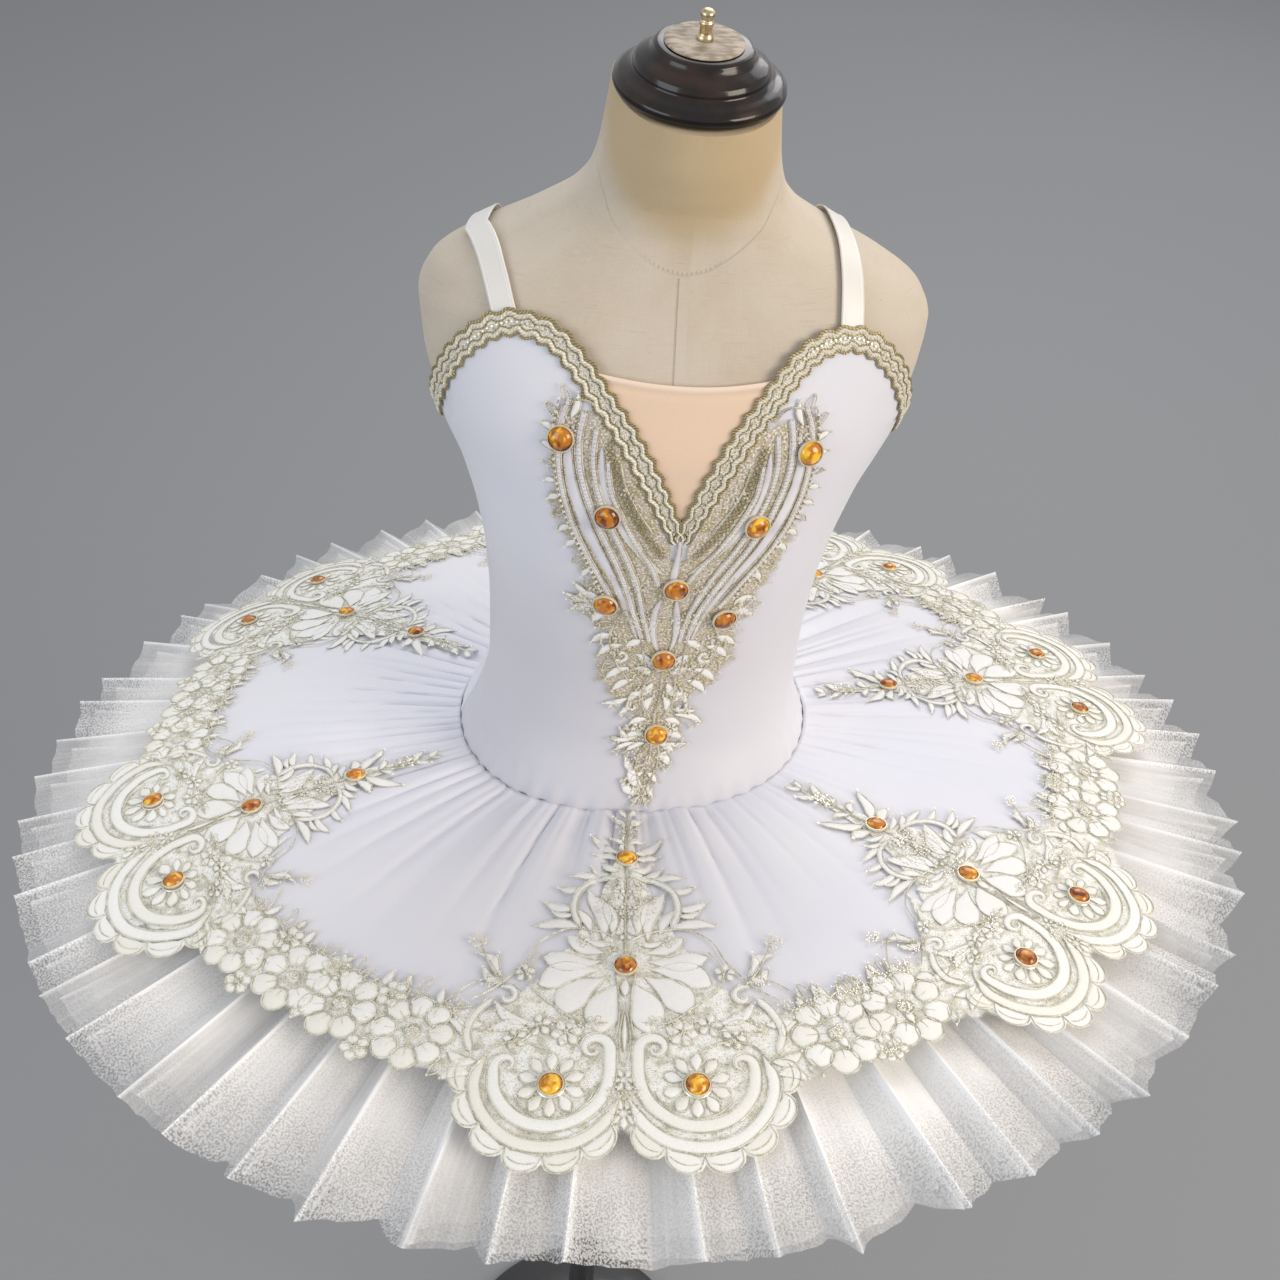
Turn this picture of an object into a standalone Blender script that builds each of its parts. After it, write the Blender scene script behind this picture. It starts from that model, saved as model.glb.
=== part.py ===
"""A child's platter tutu, worn on a limbless dress form on a turned stand.

Sizes are in metres. The floor is z = 0, the form's axis is the Z axis and the form faces -Y.
Angles round the form or the skirt are in degrees from the front, growing towards +X, which
is on the right of someone who faces the tutu. Cloth is built as open surfaces of points,
which a Solidify modifier thickens outwards into walls.
"""
import math

import bmesh
import bpy
import numpy as np
from mathutils import Matrix, Vector


def table(names, *rows):
    """Return named columns, as arrays, from rows of numbers."""
    return dict(zip(names.split(), np.array(rows, dtype=float).T))


# ---- driving dimensions ---------------------------------------------------------------------

HIP_HEIGHT = 0.955              # centre of the skirt, above the floor
SKIRT_OFFSET = (-0.0045, 0.0, 0.0)
SKIRT_RISE_FRONT = 7.8          # degrees that the front of the skirt stands up
SKIRT_RISE_RIGHT = 3.6          # degrees that its right side stands up

CLOTH = 0.0010                  # thickness of a cloth wall
SEAM = 0.0006                   # gap between two pieces along a seam
LACE_LAYER = 0.0011             # gap between the skirt and the lace on it
LAYER = 0.0008                  # gap between a piece and what it lies on
FORM_GAP = 0.0018               # gap between the form and the cloth next to it
SECOND_LAYER = FORM_GAP + CLOTH + LAYER
THIRD_LAYER = SECOND_LAYER + CLOTH + LAYER

# The dress form: heights are above the hip, side, front and back are half sizes of each
# section, and lean is the angle in degrees by which the section drops at the front.
TORSO = table(
    "height side front back lean",
    (-0.150, 0.0560, 0.050, 0.050, 0),
    (-0.145, 0.0750, 0.067, 0.068, 0),
    (-0.130, 0.0950, 0.084, 0.086, 0),
    (-0.100, 0.1080, 0.094, 0.097, 0),
    (-0.060, 0.1140, 0.098, 0.101, 0),
    (-0.025, 0.1135, 0.100, 0.100, 0),
    (0.000, 0.1080, 0.098, 0.095, 0),
    (0.028, 0.0965, 0.092, 0.084, 0),
    (0.056, 0.0905, 0.084, 0.076, 0),
    (0.090, 0.0905, 0.080, 0.073, 0),
    (0.130, 0.0925, 0.081, 0.074, 0),
    (0.165, 0.0975, 0.085, 0.078, 0),
    (0.200, 0.1065, 0.087, 0.083, 0),
    (0.232, 0.1195, 0.085, 0.084, 0),
    (0.260, 0.1275, 0.077, 0.080, 0),
    (0.285, 0.1295, 0.067, 0.071, 0),
    (0.299, 0.1235, 0.060, 0.065, 0),
    (0.311, 0.1060, 0.055, 0.061, 0),
    (0.323, 0.0800, 0.051, 0.057, 0),
    (0.335, 0.0575, 0.049, 0.054, 1),
    (0.346, 0.0475, 0.049, 0.050, 5),
    (0.360, 0.0432, 0.051, 0.042, 9),
    (0.376, 0.0410, 0.053, 0.034, 11),
    (0.3910, 0.0392, 0.0530, 0.0280, 11),
)
ROUNDNESS = 2.2                 # exponent of the sections: 2 is an ellipse, more is squarer
TORSO_SIDES = 48
TORSO_FINE = (0.13, 0.30)       # heights between which the loft has twice the rows
CHEST_CENTRE = 0.240            # height of the point that the straps are measured round

# The top edge of the bodice, at the middle of the trim that covers it.
NECKLINE = table(
    "angle height",
    (0.0, 0.1930), (5.5, 0.2115), (12.0, 0.2312), (20.0, 0.2490), (29.5, 0.2650),
    (37.0, 0.2765), (44.0, 0.2850), (50.5, 0.2892), (55.5, 0.2900), (60.0, 0.2868),
    (64.0, 0.2785), (67.0, 0.2690), (69.5, 0.2590), (72.5, 0.2480), (77.0, 0.2360),
    (83.0, 0.2260), (90.0, 0.2180), (105.0, 0.2070), (125.0, 0.1985), (150.0, 0.1930),
    (180.0, 0.1910),
)
NECK_SHIFT = 2.6                # degrees by which the point of the V sits to the right
STRAP_ANGLE = 55.5              # where the neckline peaks
BODICE_DROP = -0.004            # lower edge of the bodice, from the skirt's plane

TRIM_WIDTH = 0.013
TRIM_TIP_WIDTH = 0.0085         # where both trims meet at the point of the V
TRIM_TIP_LENGTH = 0.030
TRIM_THICKNESS = 0.0014
TRIM_SIDE = 84.0                # the side trims meet the back one here

INSERT_EDGE = 0.2715            # top of the insert at the middle, and its rise at the ends
INSERT_RISE = 0.0035
INSERT_REACH = 33.0

STRAP_WIDTH = 0.012
STRAPS = table(
    "side front top back",
    (-1, -0.0800, -0.1000, -0.0780),
    (1, 0.0800, 0.0770, 0.0780),
)
STRAP_FRONT_HEIGHT = 0.2915
STRAP_BACK_HEIGHT = 0.2020

# The lace on the bodice: how far it reaches to each side of the middle at each height.
BODICE_LACE = table(
    "height left right",
    (0.0208, 0.0045, 0.0030), (0.028, 0.0170, 0.0095), (0.045, 0.0150, 0.0160),
    (0.063, 0.0190, 0.0270), (0.085, 0.0290, 0.0280), (0.105, 0.0330, 0.0400),
    (0.125, 0.0400, 0.0500), (0.145, 0.0490, 0.0500), (0.160, 0.0520, 0.0600),
    (0.180, 0.0580, 0.0650), (0.200, 0.0630, 0.0665), (0.222, 0.0655, 0.0685),
    (0.244, 0.0640, 0.0690), (0.258, 0.0615, 0.0665),
)
BODICE_GEMS = table(
    "across height",
    (-0.0555, 0.2444), (0.0621, 0.2415), (-0.0319, 0.2078), (0.0406, 0.2043),
    (0.0046, 0.1667), (-0.0293, 0.1524), (0.0315, 0.1442), (0.0028, 0.1159),
    (0.0030, 0.0627),
)
GEM_GIRDLE = 0.0056
GEM_HEIGHT = 0.0040

# The skirt is a shallow dome: nearly flat from the hip, then drooping towards the hem.
# Lift is height above the skirt's plane.
DOME_INNER = 0.110
DOME_OUTER = 0.370
DOME_TOP = 0.0065
DOME_DROOP = 0.0280

# The layers of net: their lift at the root and at the hem, and their radius.
NETS = table(
    "root hem radius",
    (-0.0035, -0.0245, 0.3690),
    (-0.0130, -0.0315, 0.3610),
    (-0.0240, -0.0390, 0.3460),
)
TOP_NET_BEND = (0.250, -0.0095) # radius and lift where the top layer starts to droop
PLEATS = 58
PLEAT_LONG_SIDE = 0.70          # share of a knife pleat that is its long side
PLEAT_RISE = 0.0055             # half the height of a pleat at the hem
PLEAT_ROOT_RISE = 0.0006
PLEAT_POINT = 0.0045            # how far a ridge runs past the hem's radius

OVERLAY_RADIUS = 0.282
GATHERS = 16
GATHER_RISE = 0.0006
GATHER_REACH = 0.21             # radius at which the gathers have smoothed out

LACE_ANGLES = (-172.0, -124.0, -67.0, -2.7, 46.3, 96.0, 139.5)
# One half of a lace motif: its inner and outer edge at each angle from its middle. Past the
# scalloped lobes it runs on as a garland, to the middle between two motifs.
SKIRT_LACE = table(
    "angle inner outer",
    (0.0, 0.118, 0.320), (3.0, 0.160, 0.329), (5.5, 0.192, 0.334), (8.5, 0.224, 0.331),
    (11.5, 0.246, 0.320), (14.5, 0.260, 0.308), (18.0, 0.262, 0.303), (33.0, 0.270, 0.300),
)

# The brief under the skirt: its lower edge follows the leg openings, and the gusset is open,
# with the pole between its two ends.
LEG_LINE = table(
    "angle height",
    (0.0, -0.1300), (12.0, -0.1270), (26.0, -0.1080), (45.0, -0.0800), (68.0, -0.0640),
    (90.0, -0.0600), (112.0, -0.0700), (136.0, -0.0960), (156.0, -0.1210), (168.0, -0.1290),
    (180.0, -0.1300),
)

CAP_LEAN = 11.0
BASE_RADIUS = 0.125
POLE_RADIUS = 0.0125
COLLAR_RADIUS = 0.030
COLLAR_HEIGHT = 0.022
HUB_HEIGHT = 0.048
TOUCH = 0.0003

# Profiles of the turned pieces: radius and height, from the top down.
CAP_PROFILE = (
    (0.0, 0.0212), (0.0206, 0.0212), (0.0224, 0.0203), (0.0230, 0.0188), (0.0242, 0.0172),
    (0.0272, 0.0158), (0.0300, 0.0143), (0.0311, 0.0122), (0.0314, 0.0104), (0.0334, 0.0090),
    (0.0370, 0.0076), (0.0392, 0.0054), (0.0396, 0.0032), (0.0388, 0.0013), (0.0370, 0.0),
    (0.0, 0.0),
)
DISC_PROFILE = ((0.0, 0.0012), (0.0174, 0.0012), (0.0182, 0.0006), (0.0182, 0.0), (0.0, 0.0))
FINIAL_PROFILE = (
    (0.0, 0.0130), (0.0018, 0.0127), (0.0031, 0.0116), (0.0033, 0.0102), (0.0026, 0.0089),
    (0.0026, 0.0082), (0.0033, 0.0074), (0.0033, 0.0063), (0.0028, 0.0054), (0.0028, 0.0024),
    (0.0036, 0.0013), (0.0038, 0.0), (0.0, 0.0),
)
BASE_PROFILE = (
    (0.0, HUB_HEIGHT), (0.0180, HUB_HEIGHT), (0.0200, 0.0460), (0.0205, 0.0400),
    (0.0290, 0.0345), (0.0560, 0.0300), (0.0860, 0.0225), (0.1120, 0.0140),
    (0.1210, 0.0105), (BASE_RADIUS, 0.0060), (BASE_RADIUS, 0.0), (0.0, 0.0),
)
COLLAR_PROFILE = (
    (0.0, COLLAR_HEIGHT), (COLLAR_RADIUS, COLLAR_HEIGHT), (COLLAR_RADIUS, 0.0180),
    (0.0210, 0.0140), (0.0180, 0.0), (0.0, 0.0),
)
GEM_PROFILE = (
    (0.0, GEM_HEIGHT), (0.0032, GEM_HEIGHT), (GEM_GIRDLE, 0.0014), (0.0053, 0.0), (0.0, 0.0),
)


# ---- curves through tables ------------------------------------------------------------------

def smooth(columns, name, at, key="height"):
    """Read a column with a cubic that passes through its rows and never overshoots them."""
    known = columns[key]
    values = columns[name]
    step = np.diff(known)
    slope = np.diff(values) / step
    before = 2 * step[1:] + step[:-1]
    after = step[1:] + 2 * step[:-1]
    same_way = slope[:-1] * slope[1:] > 0
    left = np.where(same_way, slope[:-1], 1.0)
    right = np.where(same_way, slope[1:], 1.0)
    inner = np.where(same_way, (before + after) / (before / left + after / right), 0.0)
    tangent = np.concatenate([slope[:1], inner, slope[-1:]])
    at = np.clip(np.asarray(at, dtype=float), known[0], known[-1])
    row = np.clip(np.searchsorted(known, at) - 1, 0, len(known) - 2)
    t = (at - known[row]) / step[row]
    return ((2 * t**3 - 3 * t**2 + 1) * values[row] + (t**3 - 2 * t**2 + t) * step[row] * tangent[row]
            + (3 * t**2 - 2 * t**3) * values[row + 1] + (t**3 - t**2) * step[row] * tangent[row + 1])


def lengths_along(points):
    """Distance along a line of points, starting from 0."""
    return np.concatenate([[0.0], np.cumsum(np.linalg.norm(np.diff(points, axis=0), axis=1))])


# ---- the form's surface ---------------------------------------------------------------------

def form_point(angle, height, lean=0.0):
    """The point of the form's surface at an angle from the front and a height above the hip."""
    turn = np.radians(angle)
    depth = np.where(np.cos(turn) > 0, smooth(TORSO, "front", height), smooth(TORSO, "back", height))
    side = smooth(TORSO, "side", height)
    reach = ((np.abs(np.sin(turn)) / side)**ROUNDNESS
             + (np.abs(np.cos(turn)) / depth)**ROUNDNESS)**(-1 / ROUNDNESS)
    x = reach * np.sin(turn)
    y = -reach * np.cos(turn)
    z = HIP_HEIGHT + height + y * np.tan(np.radians(lean))
    return np.stack(np.broadcast_arrays(x, y, z), axis=-1)


def front_point(across, height):
    """The point of the form's front at a distance across and a height above the hip."""
    share = np.abs(across / smooth(TORSO, "side", height))**ROUNDNESS
    y = -smooth(TORSO, "front", height) * (1 - share)**(1 / ROUNDNESS)
    return np.stack(np.broadcast_arrays(across, y, HIP_HEIGHT + height), axis=-1)


def form_level(points):
    """Negative inside the form, zero on its surface and positive outside."""
    height = points[..., 2] - HIP_HEIGHT
    depth = np.where(points[..., 1] < 0, smooth(TORSO, "front", height), smooth(TORSO, "back", height))
    return ((np.abs(points[..., 0]) / smooth(TORSO, "side", height))**ROUNDNESS
            + (np.abs(points[..., 1]) / depth)**ROUNDNESS)**(1 / ROUNDNESS) - 1


def form_slope(points, step=1e-5):
    """Gradient of form_level by small steps along X, Y and Z."""
    return np.stack([(form_level(points + step * axis) - form_level(points - step * axis)) / (2 * step)
                     for axis in np.eye(3)], axis=-1)


def clearance(points):
    """Distance from the form's surface, close to it."""
    return form_level(points) / np.linalg.norm(form_slope(points), axis=-1)


def on_form(points, gap):
    """Bring points to the form's surface, then move them out by the gap."""
    for _ in range(6):
        slope = form_slope(points)
        size = np.linalg.norm(slope, axis=-1, keepdims=True)
        points = points - slope / size * (form_level(points)[..., None] / size)
    slope = form_slope(points)
    return points + gap * slope / np.linalg.norm(slope, axis=-1, keepdims=True)


# ---- the skirt's plane ----------------------------------------------------------------------

SKIRT_CENTRE = np.array(SKIRT_OFFSET) + (0.0, 0.0, HIP_HEIGHT)
SKIRT_UP = np.array([-math.tan(math.radians(SKIRT_RISE_RIGHT)),
                     math.tan(math.radians(SKIRT_RISE_FRONT)), 1.0])
SKIRT_UP = SKIRT_UP / np.linalg.norm(SKIRT_UP)
SKIRT_RIGHT = np.cross([0.0, 1.0, 0.0], SKIRT_UP)
SKIRT_RIGHT = SKIRT_RIGHT / np.linalg.norm(SKIRT_RIGHT)
SKIRT_BACK = np.cross(SKIRT_UP, SKIRT_RIGHT)


def skirt_point(angle, radius, lift):
    """A point by its angle and radius in the skirt's plane, and its lift above the plane."""
    turn = np.radians(angle)
    right, front, lift = np.broadcast_arrays(radius * np.sin(turn), radius * np.cos(turn), lift)
    return (SKIRT_CENTRE + right[..., None] * SKIRT_RIGHT - front[..., None] * SKIRT_BACK
            + lift[..., None] * SKIRT_UP)


def hip_radius(angle, lift, gap):
    """The radius in the skirt's plane that is a gap away from the form."""
    low = np.full(np.shape(angle), 0.05)
    high = np.full(np.shape(angle), 0.16)
    for _ in range(40):
        middle = (low + high) / 2
        inside = clearance(skirt_point(angle, middle, lift)) < gap
        low = np.where(inside, middle, low)
        high = np.where(inside, high, middle)
    return high


def hip_height(angle, lift):
    """The height on the form, at an angle, that has this lift above the skirt's plane."""
    height = np.full(np.shape(angle), float(lift))
    for _ in range(12):
        found = (form_point(angle, height) - SKIRT_CENTRE) @ SKIRT_UP
        height = height - (found - lift)
    return height


# ---- making objects -------------------------------------------------------------------------

def clear_scene():
    """Remove every object that the file started with."""
    for thing in list(bpy.data.objects):
        bpy.data.objects.remove(thing, do_unlink=True)


def material(name, colour, roughness, metallic=0.0):
    """A Principled material."""
    made = bpy.data.materials.new(name)
    made.use_nodes = True
    shader = made.node_tree.nodes["Principled BSDF"]
    shader.inputs["Base Color"].default_value = (*colour, 1.0)
    shader.inputs["Roughness"].default_value = roughness
    shader.inputs["Metallic"].default_value = metallic
    return made


def add_object(name, mesh, finish):
    """Put a mesh in the tutu's collection under its own name and material."""
    mesh.materials.append(finish)
    thing = bpy.data.objects.new(name, mesh)
    bpy.data.collections["ballet_tutu"].objects.link(thing)
    return thing


def mesh_of(name, points, faces):
    """A smooth mesh with sharp edges kept, from points and faces."""
    mesh = bpy.data.meshes.new(name)
    mesh.from_pydata([tuple(point) for point in points], [], faces)
    mesh.shade_smooth()
    mesh.set_sharp_from_angle(angle=math.radians(30))
    return mesh


def grid_faces(rows, columns, closed):
    """Quads of a grid, facing the way of column cross row."""
    last = columns if closed else columns - 1
    return [(row * columns + column, row * columns + (column + 1) % columns,
             (row + 1) * columns + (column + 1) % columns, (row + 1) * columns + column)
            for row in range(rows - 1) for column in range(last)]


def add_wall(name, grid, finish, thickness=CLOTH, closed=False):
    """A cloth wall: a grid of points as its inner side, thickened outwards."""
    rows, columns = grid.shape[:2]
    mesh = mesh_of(name, grid.reshape(-1, 3), grid_faces(rows, columns, closed))
    wall = add_object(name, mesh, finish)
    solidify = wall.modifiers.new("thickness", "SOLIDIFY")
    solidify.thickness = thickness
    solidify.offset = 1.0
    solidify.use_even_offset = True
    return wall


def add_turned(name, profile, finish, place=Matrix(), steps=32):
    """A turned piece: a profile of radius and height, from the top down, spun about Z."""
    mesh = bpy.data.meshes.new(name)
    edges = [(i, i + 1) for i in range(len(profile) - 1)]
    mesh.from_pydata([(radius, 0.0, height) for radius, height in profile], edges, [])
    turned = add_object(name, mesh, finish)
    turned.matrix_world = place
    screw = turned.modifiers.new("turning", "SCREW")
    screw.axis = "Z"
    screw.steps = steps
    screw.render_steps = steps
    screw.use_merge_vertices = True
    screw.merge_threshold = 0.00001
    screw.use_smooth_shade = False
    return turned


# ---- the dress form and its stand -----------------------------------------------------------

def build_form(linen):
    """The torso and neck, one loft from the rounded underside to the slanted neck top."""
    angles = np.arange(TORSO_SIDES) * 360 / TORSO_SIDES
    heights = TORSO["height"]
    middles = (heights[:-1] + heights[1:]) / 2
    extra = middles[(middles > TORSO_FINE[0]) & (middles < TORSO_FINE[1])]
    heights = np.sort(np.append(heights, extra))[:, None]
    rings = form_point(angles[None, :], heights, smooth(TORSO, "lean", heights))
    rows = len(heights)
    faces = grid_faces(rows, TORSO_SIDES, closed=True)
    faces.append(tuple(reversed(range(TORSO_SIDES))))
    faces.append(tuple((rows - 1) * TORSO_SIDES + i for i in range(TORSO_SIDES)))
    add_object("torso_form", mesh_of("torso_form", rings.reshape(-1, 3), faces), linen)


def neck_top():
    """The place of the neck's slanted top: its middle, with Z along the neck."""
    height = TORSO["height"][-1]
    middle_y = (TORSO["back"][-1] - TORSO["front"][-1]) / 2
    lean = math.radians(CAP_LEAN)
    middle = Vector((0.0, middle_y, HIP_HEIGHT + height + middle_y * math.tan(lean)))
    return Matrix.Translation(middle) @ Matrix.Rotation(lean, 4, "X")


def build_cap(black_wood, worn_wood, brass):
    """The turned cap on the neck, the worn disc in its top and the brass finial."""
    top = neck_top()
    cap_height = CAP_PROFILE[0][1]
    disc_height = DISC_PROFILE[0][1]
    lifts = (TOUCH, TOUCH * 2 + cap_height, TOUCH * 3 + cap_height + disc_height)
    places = [top @ Matrix.Translation((0, 0, lift)) for lift in lifts]
    add_turned("neck_cap", CAP_PROFILE, black_wood, places[0], steps=40)
    add_turned("cap_disc", DISC_PROFILE, worn_wood, places[1], steps=32)
    add_turned("cap_finial", FINIAL_PROFILE, brass, places[2], steps=16)


def build_stand(iron):
    """The domed base on the floor, the pole and the collar under the form."""
    add_turned("stand_base", BASE_PROFILE, iron, steps=48)
    form_bottom = HIP_HEIGHT + TORSO["height"][0]
    collar_bottom = form_bottom - TOUCH - COLLAR_HEIGHT
    add_turned("pole_collar", COLLAR_PROFILE, iron, Matrix.Translation((0, 0, collar_bottom)))
    pole_foot = HUB_HEIGHT + TOUCH
    pole_length = collar_bottom - TOUCH - pole_foot
    bpy.ops.mesh.primitive_cylinder_add(vertices=32, radius=POLE_RADIUS, depth=pole_length,
                                        location=(0, 0, pole_foot + pole_length / 2))
    pole = bpy.context.object
    pole.name = "stand_pole"
    pole.data.materials.append(iron)
    for holder in list(pole.users_collection):
        holder.objects.unlink(pole)
    bpy.data.collections["ballet_tutu"].objects.link(pole)


# ---- the bodice -----------------------------------------------------------------------------

def neck_turn(angle):
    """Turn the point of the V a little to the right, fading out at the peaks."""
    share = np.clip(1 - np.abs(angle) / STRAP_ANGLE, 0, 1)
    return angle + NECK_SHIFT * share**2


def neckline_height(angle):
    """Height of the bodice's top edge, the same on both sides."""
    return smooth(NECKLINE, "height", np.abs(angle), key="angle")


def build_bodice(white_cloth):
    """Front and back panels, from just under the skirt's plane up to the neckline."""
    front = np.array([-89.7, -83, -77, -73, -70, -67, -64, -60, -55.5, -48, -39, -30, -21, -13, -6])
    front = np.concatenate([front, [0], -front[::-1]])
    back = 180 + np.concatenate([[-89.7], np.linspace(-80, 80, 17), [89.7]])
    panels = (("bodice_front", front, neck_turn(front), 12), ("bodice_back", back, back, 9))
    for name, angles, placed, rows in panels:
        folded = np.where(angles > 180, 360 - angles, angles)
        top = neckline_height(folded)
        bottom = hip_height(placed, BODICE_DROP)
        share = np.linspace(0, 1, rows)[:, None]
        heights = bottom + (top - bottom) * share
        points = form_point(np.broadcast_to(placed, heights.shape), heights)
        add_wall(name, on_form(points, FORM_GAP), white_cloth)


def build_insert(skin_net):
    """The insert that fills the V up to its straight top edge."""
    angles = np.linspace(-INSERT_REACH, INSERT_REACH, 15)
    bottom = neckline_height(angles) + 2 * SEAM
    top = INSERT_EDGE + INSERT_RISE * (angles / INSERT_REACH)**2
    share = np.linspace(0, 1, 4)[:, None]
    heights = bottom + (top - bottom) * share
    points = form_point(np.broadcast_to(neck_turn(angles), heights.shape), heights)
    add_wall("neckline_insert", on_form(points, FORM_GAP), skin_net)


def edge_path(start, end, count):
    """Points on the form along the neckline, evenly spaced, from one angle to another."""
    fine = np.linspace(start, end, 400)
    folded = np.where(fine > 180, 360 - fine, fine)
    points = form_point(neck_turn(fine), neckline_height(folded))
    along = lengths_along(points)
    wanted = np.linspace(0, along[-1], count)
    path = np.stack([np.interp(wanted, along, points[:, axis]) for axis in range(3)], axis=-1)
    return on_form(path, 0.0), wanted


def edge_strip(path, half_width, gap, mitre=None):
    """Two rows of points, either side of a path that lies on the form, at a gap from it."""
    way = np.gradient(path, axis=0)
    slope = form_slope(path)
    across = np.cross(slope, way)
    across = across / np.linalg.norm(across, axis=1, keepdims=True)
    if mitre is not None:
        across[mitre] = (0.0, 0.0, 1.0)
    offset = across * half_width[:, None]
    return np.stack([on_form(path - offset, gap), on_form(path + offset, gap)])


def trim_strip(side, gap):
    """A side trim from the point of the V to the underarm, narrower at the point."""
    path, along = edge_path(side * 0.6, side * TRIM_SIDE, 26)
    narrow = np.clip(along / TRIM_TIP_LENGTH, 0, 1)
    half_width = (TRIM_TIP_WIDTH + (TRIM_WIDTH - TRIM_TIP_WIDTH) * narrow) / 2
    if side < 0:
        path, half_width = path[::-1], half_width[::-1]
    return edge_strip(path, half_width, gap, mitre=-1 if side < 0 else 0)


def build_trims(braid):
    """The braid that covers the neckline: one strip a side and one round the back."""
    for name, side in (("neckline_trim_left", -1), ("neckline_trim_right", 1)):
        add_wall(name, trim_strip(side, SECOND_LAYER), braid, TRIM_THICKNESS)
    path, along = edge_path(TRIM_SIDE + 0.5, 360 - TRIM_SIDE - 0.5, 22)
    strip = edge_strip(path, np.full(len(along), TRIM_WIDTH / 2), SECOND_LAYER)
    add_wall("neckline_trim_back", strip, braid, TRIM_THICKNESS)


def slice_point(across, turn):
    """The form's surface in the upright slice at `across`, turned up from the chest's front."""
    low = np.zeros(np.shape(turn))
    high = np.full(np.shape(turn), 0.15)
    middle_height = HIP_HEIGHT + CHEST_CENTRE
    for _ in range(40):
        reach = (low + high) / 2
        points = np.stack([across, -reach * np.cos(turn), middle_height + reach * np.sin(turn)], axis=-1)
        inside = form_level(points) < 0
        low = np.where(inside, reach, low)
        high = np.where(inside, high, reach)
    return points


def build_straps(elastic):
    """The shoulder straps, over the form from the peaks of the neckline to the back."""
    for row, name in enumerate(("strap_left", "strap_right")):
        ends = [STRAPS[key][row] for key in ("front", "top", "back")]
        turn = np.linspace(0, math.pi + 0.6, 300)
        across = np.interp(turn, (0.6, math.pi / 2, math.pi + 0.5), ends)
        points = slice_point(across, turn)
        height = points[:, 2] - HIP_HEIGHT
        front_half = turn < math.pi / 2
        kept = np.where(front_half, height > STRAP_FRONT_HEIGHT, height > STRAP_BACK_HEIGHT)
        points = points[kept]
        along = lengths_along(points)
        wanted = np.linspace(0, along[-1], 22)
        path = np.stack([np.interp(wanted, along, points[:, axis]) for axis in range(3)], axis=-1)
        left, right = edge_strip(path, np.full(len(path), STRAP_WIDTH / 2), FORM_GAP)
        add_wall(name, np.stack([left, right], axis=1)[:, ::-1], elastic)


def lace_inner(heights, side):
    """How far across the lower edge of a side trim is, at heights above the point of the V."""
    lower_edge = trim_strip(side, 0.0)[0]
    order = np.argsort(lower_edge[:, 2])
    rising = order[lower_edge[order, 2] - HIP_HEIGHT < NECKLINE["height"][6]]
    edge_heights = lower_edge[rising, 2] - HIP_HEIGHT
    front_side = np.abs(lower_edge[rising, 0]) < 0.075
    across = np.interp(heights, edge_heights[front_side], lower_edge[rising, 0][front_side])
    return across + side * 2 * SEAM


def build_bodice_lace(lace):
    """The lace that fills the sides of the V and narrows to a point at the hip."""
    v_point = trim_strip(1, 0.0)[0][0, 2] - HIP_HEIGHT - 2 * SEAM
    lower = np.append(np.linspace(BODICE_LACE["height"][0], v_point, 9), v_point)[:-1]
    upper = np.append(v_point, np.linspace(v_point + 0.008, BODICE_LACE["height"][-1], 5))
    middle = np.interp(lower, (0.0, v_point), (0.0, trim_strip(1, 0.0)[0][0, 0] - SEAM))
    made = bmesh.new()
    for side, name in ((-1, "left"), (1, "right")):
        outer_low = side * smooth(BODICE_LACE, name, lower)
        outer_high = side * smooth(BODICE_LACE, name, upper)
        inner_high = np.append(middle[-1], lace_inner(upper[1:], side))
        inner = np.append(middle, inner_high[1:])
        outer = np.append(outer_low, outer_high[1:])
        heights = np.append(lower, upper[1:])[:, None]
        share = np.linspace(0, 1, 5)
        across = inner[:, None] + (outer - inner)[:, None] * share
        grid = on_form(front_point(across, np.broadcast_to(heights, across.shape)), SECOND_LAYER)
        if side < 0:
            grid = grid[:, ::-1]
        rows, columns = grid.shape[:2]
        corners = [made.verts.new(point) for point in grid.reshape(-1, 3)]
        for face in grid_faces(rows, columns, closed=False):
            made.faces.new([corners[corner] for corner in face])
    bmesh.ops.remove_doubles(made, verts=made.verts, dist=0.00005)
    mesh = bpy.data.meshes.new("bodice_lace")
    made.to_mesh(mesh)
    made.free()
    mesh.shade_smooth()
    wall = add_object("bodice_lace", mesh, lace)
    solidify = wall.modifiers.new("thickness", "SOLIDIFY")
    solidify.thickness = CLOTH
    solidify.offset = 1.0
    solidify.use_even_offset = True


def build_bodice_gems(amber):
    """Nine flat-backed round stones on the bodice lace, each square to the form."""
    points = front_point(BODICE_GEMS["across"], BODICE_GEMS["height"])
    seats = on_form(points, THIRD_LAYER - TOUCH)
    slopes = form_slope(points)
    for number, (seat, slope) in enumerate(zip(seats, slopes), start=1):
        turn = Vector(slope).to_track_quat("Z", "Y").to_matrix().to_4x4()
        place = Matrix.Translation(Vector(seat)) @ turn
        add_turned(f"bodice_gem_{number}", GEM_PROFILE, amber, place, steps=8)


# ---- the brief and the skirt ----------------------------------------------------------------

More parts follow.
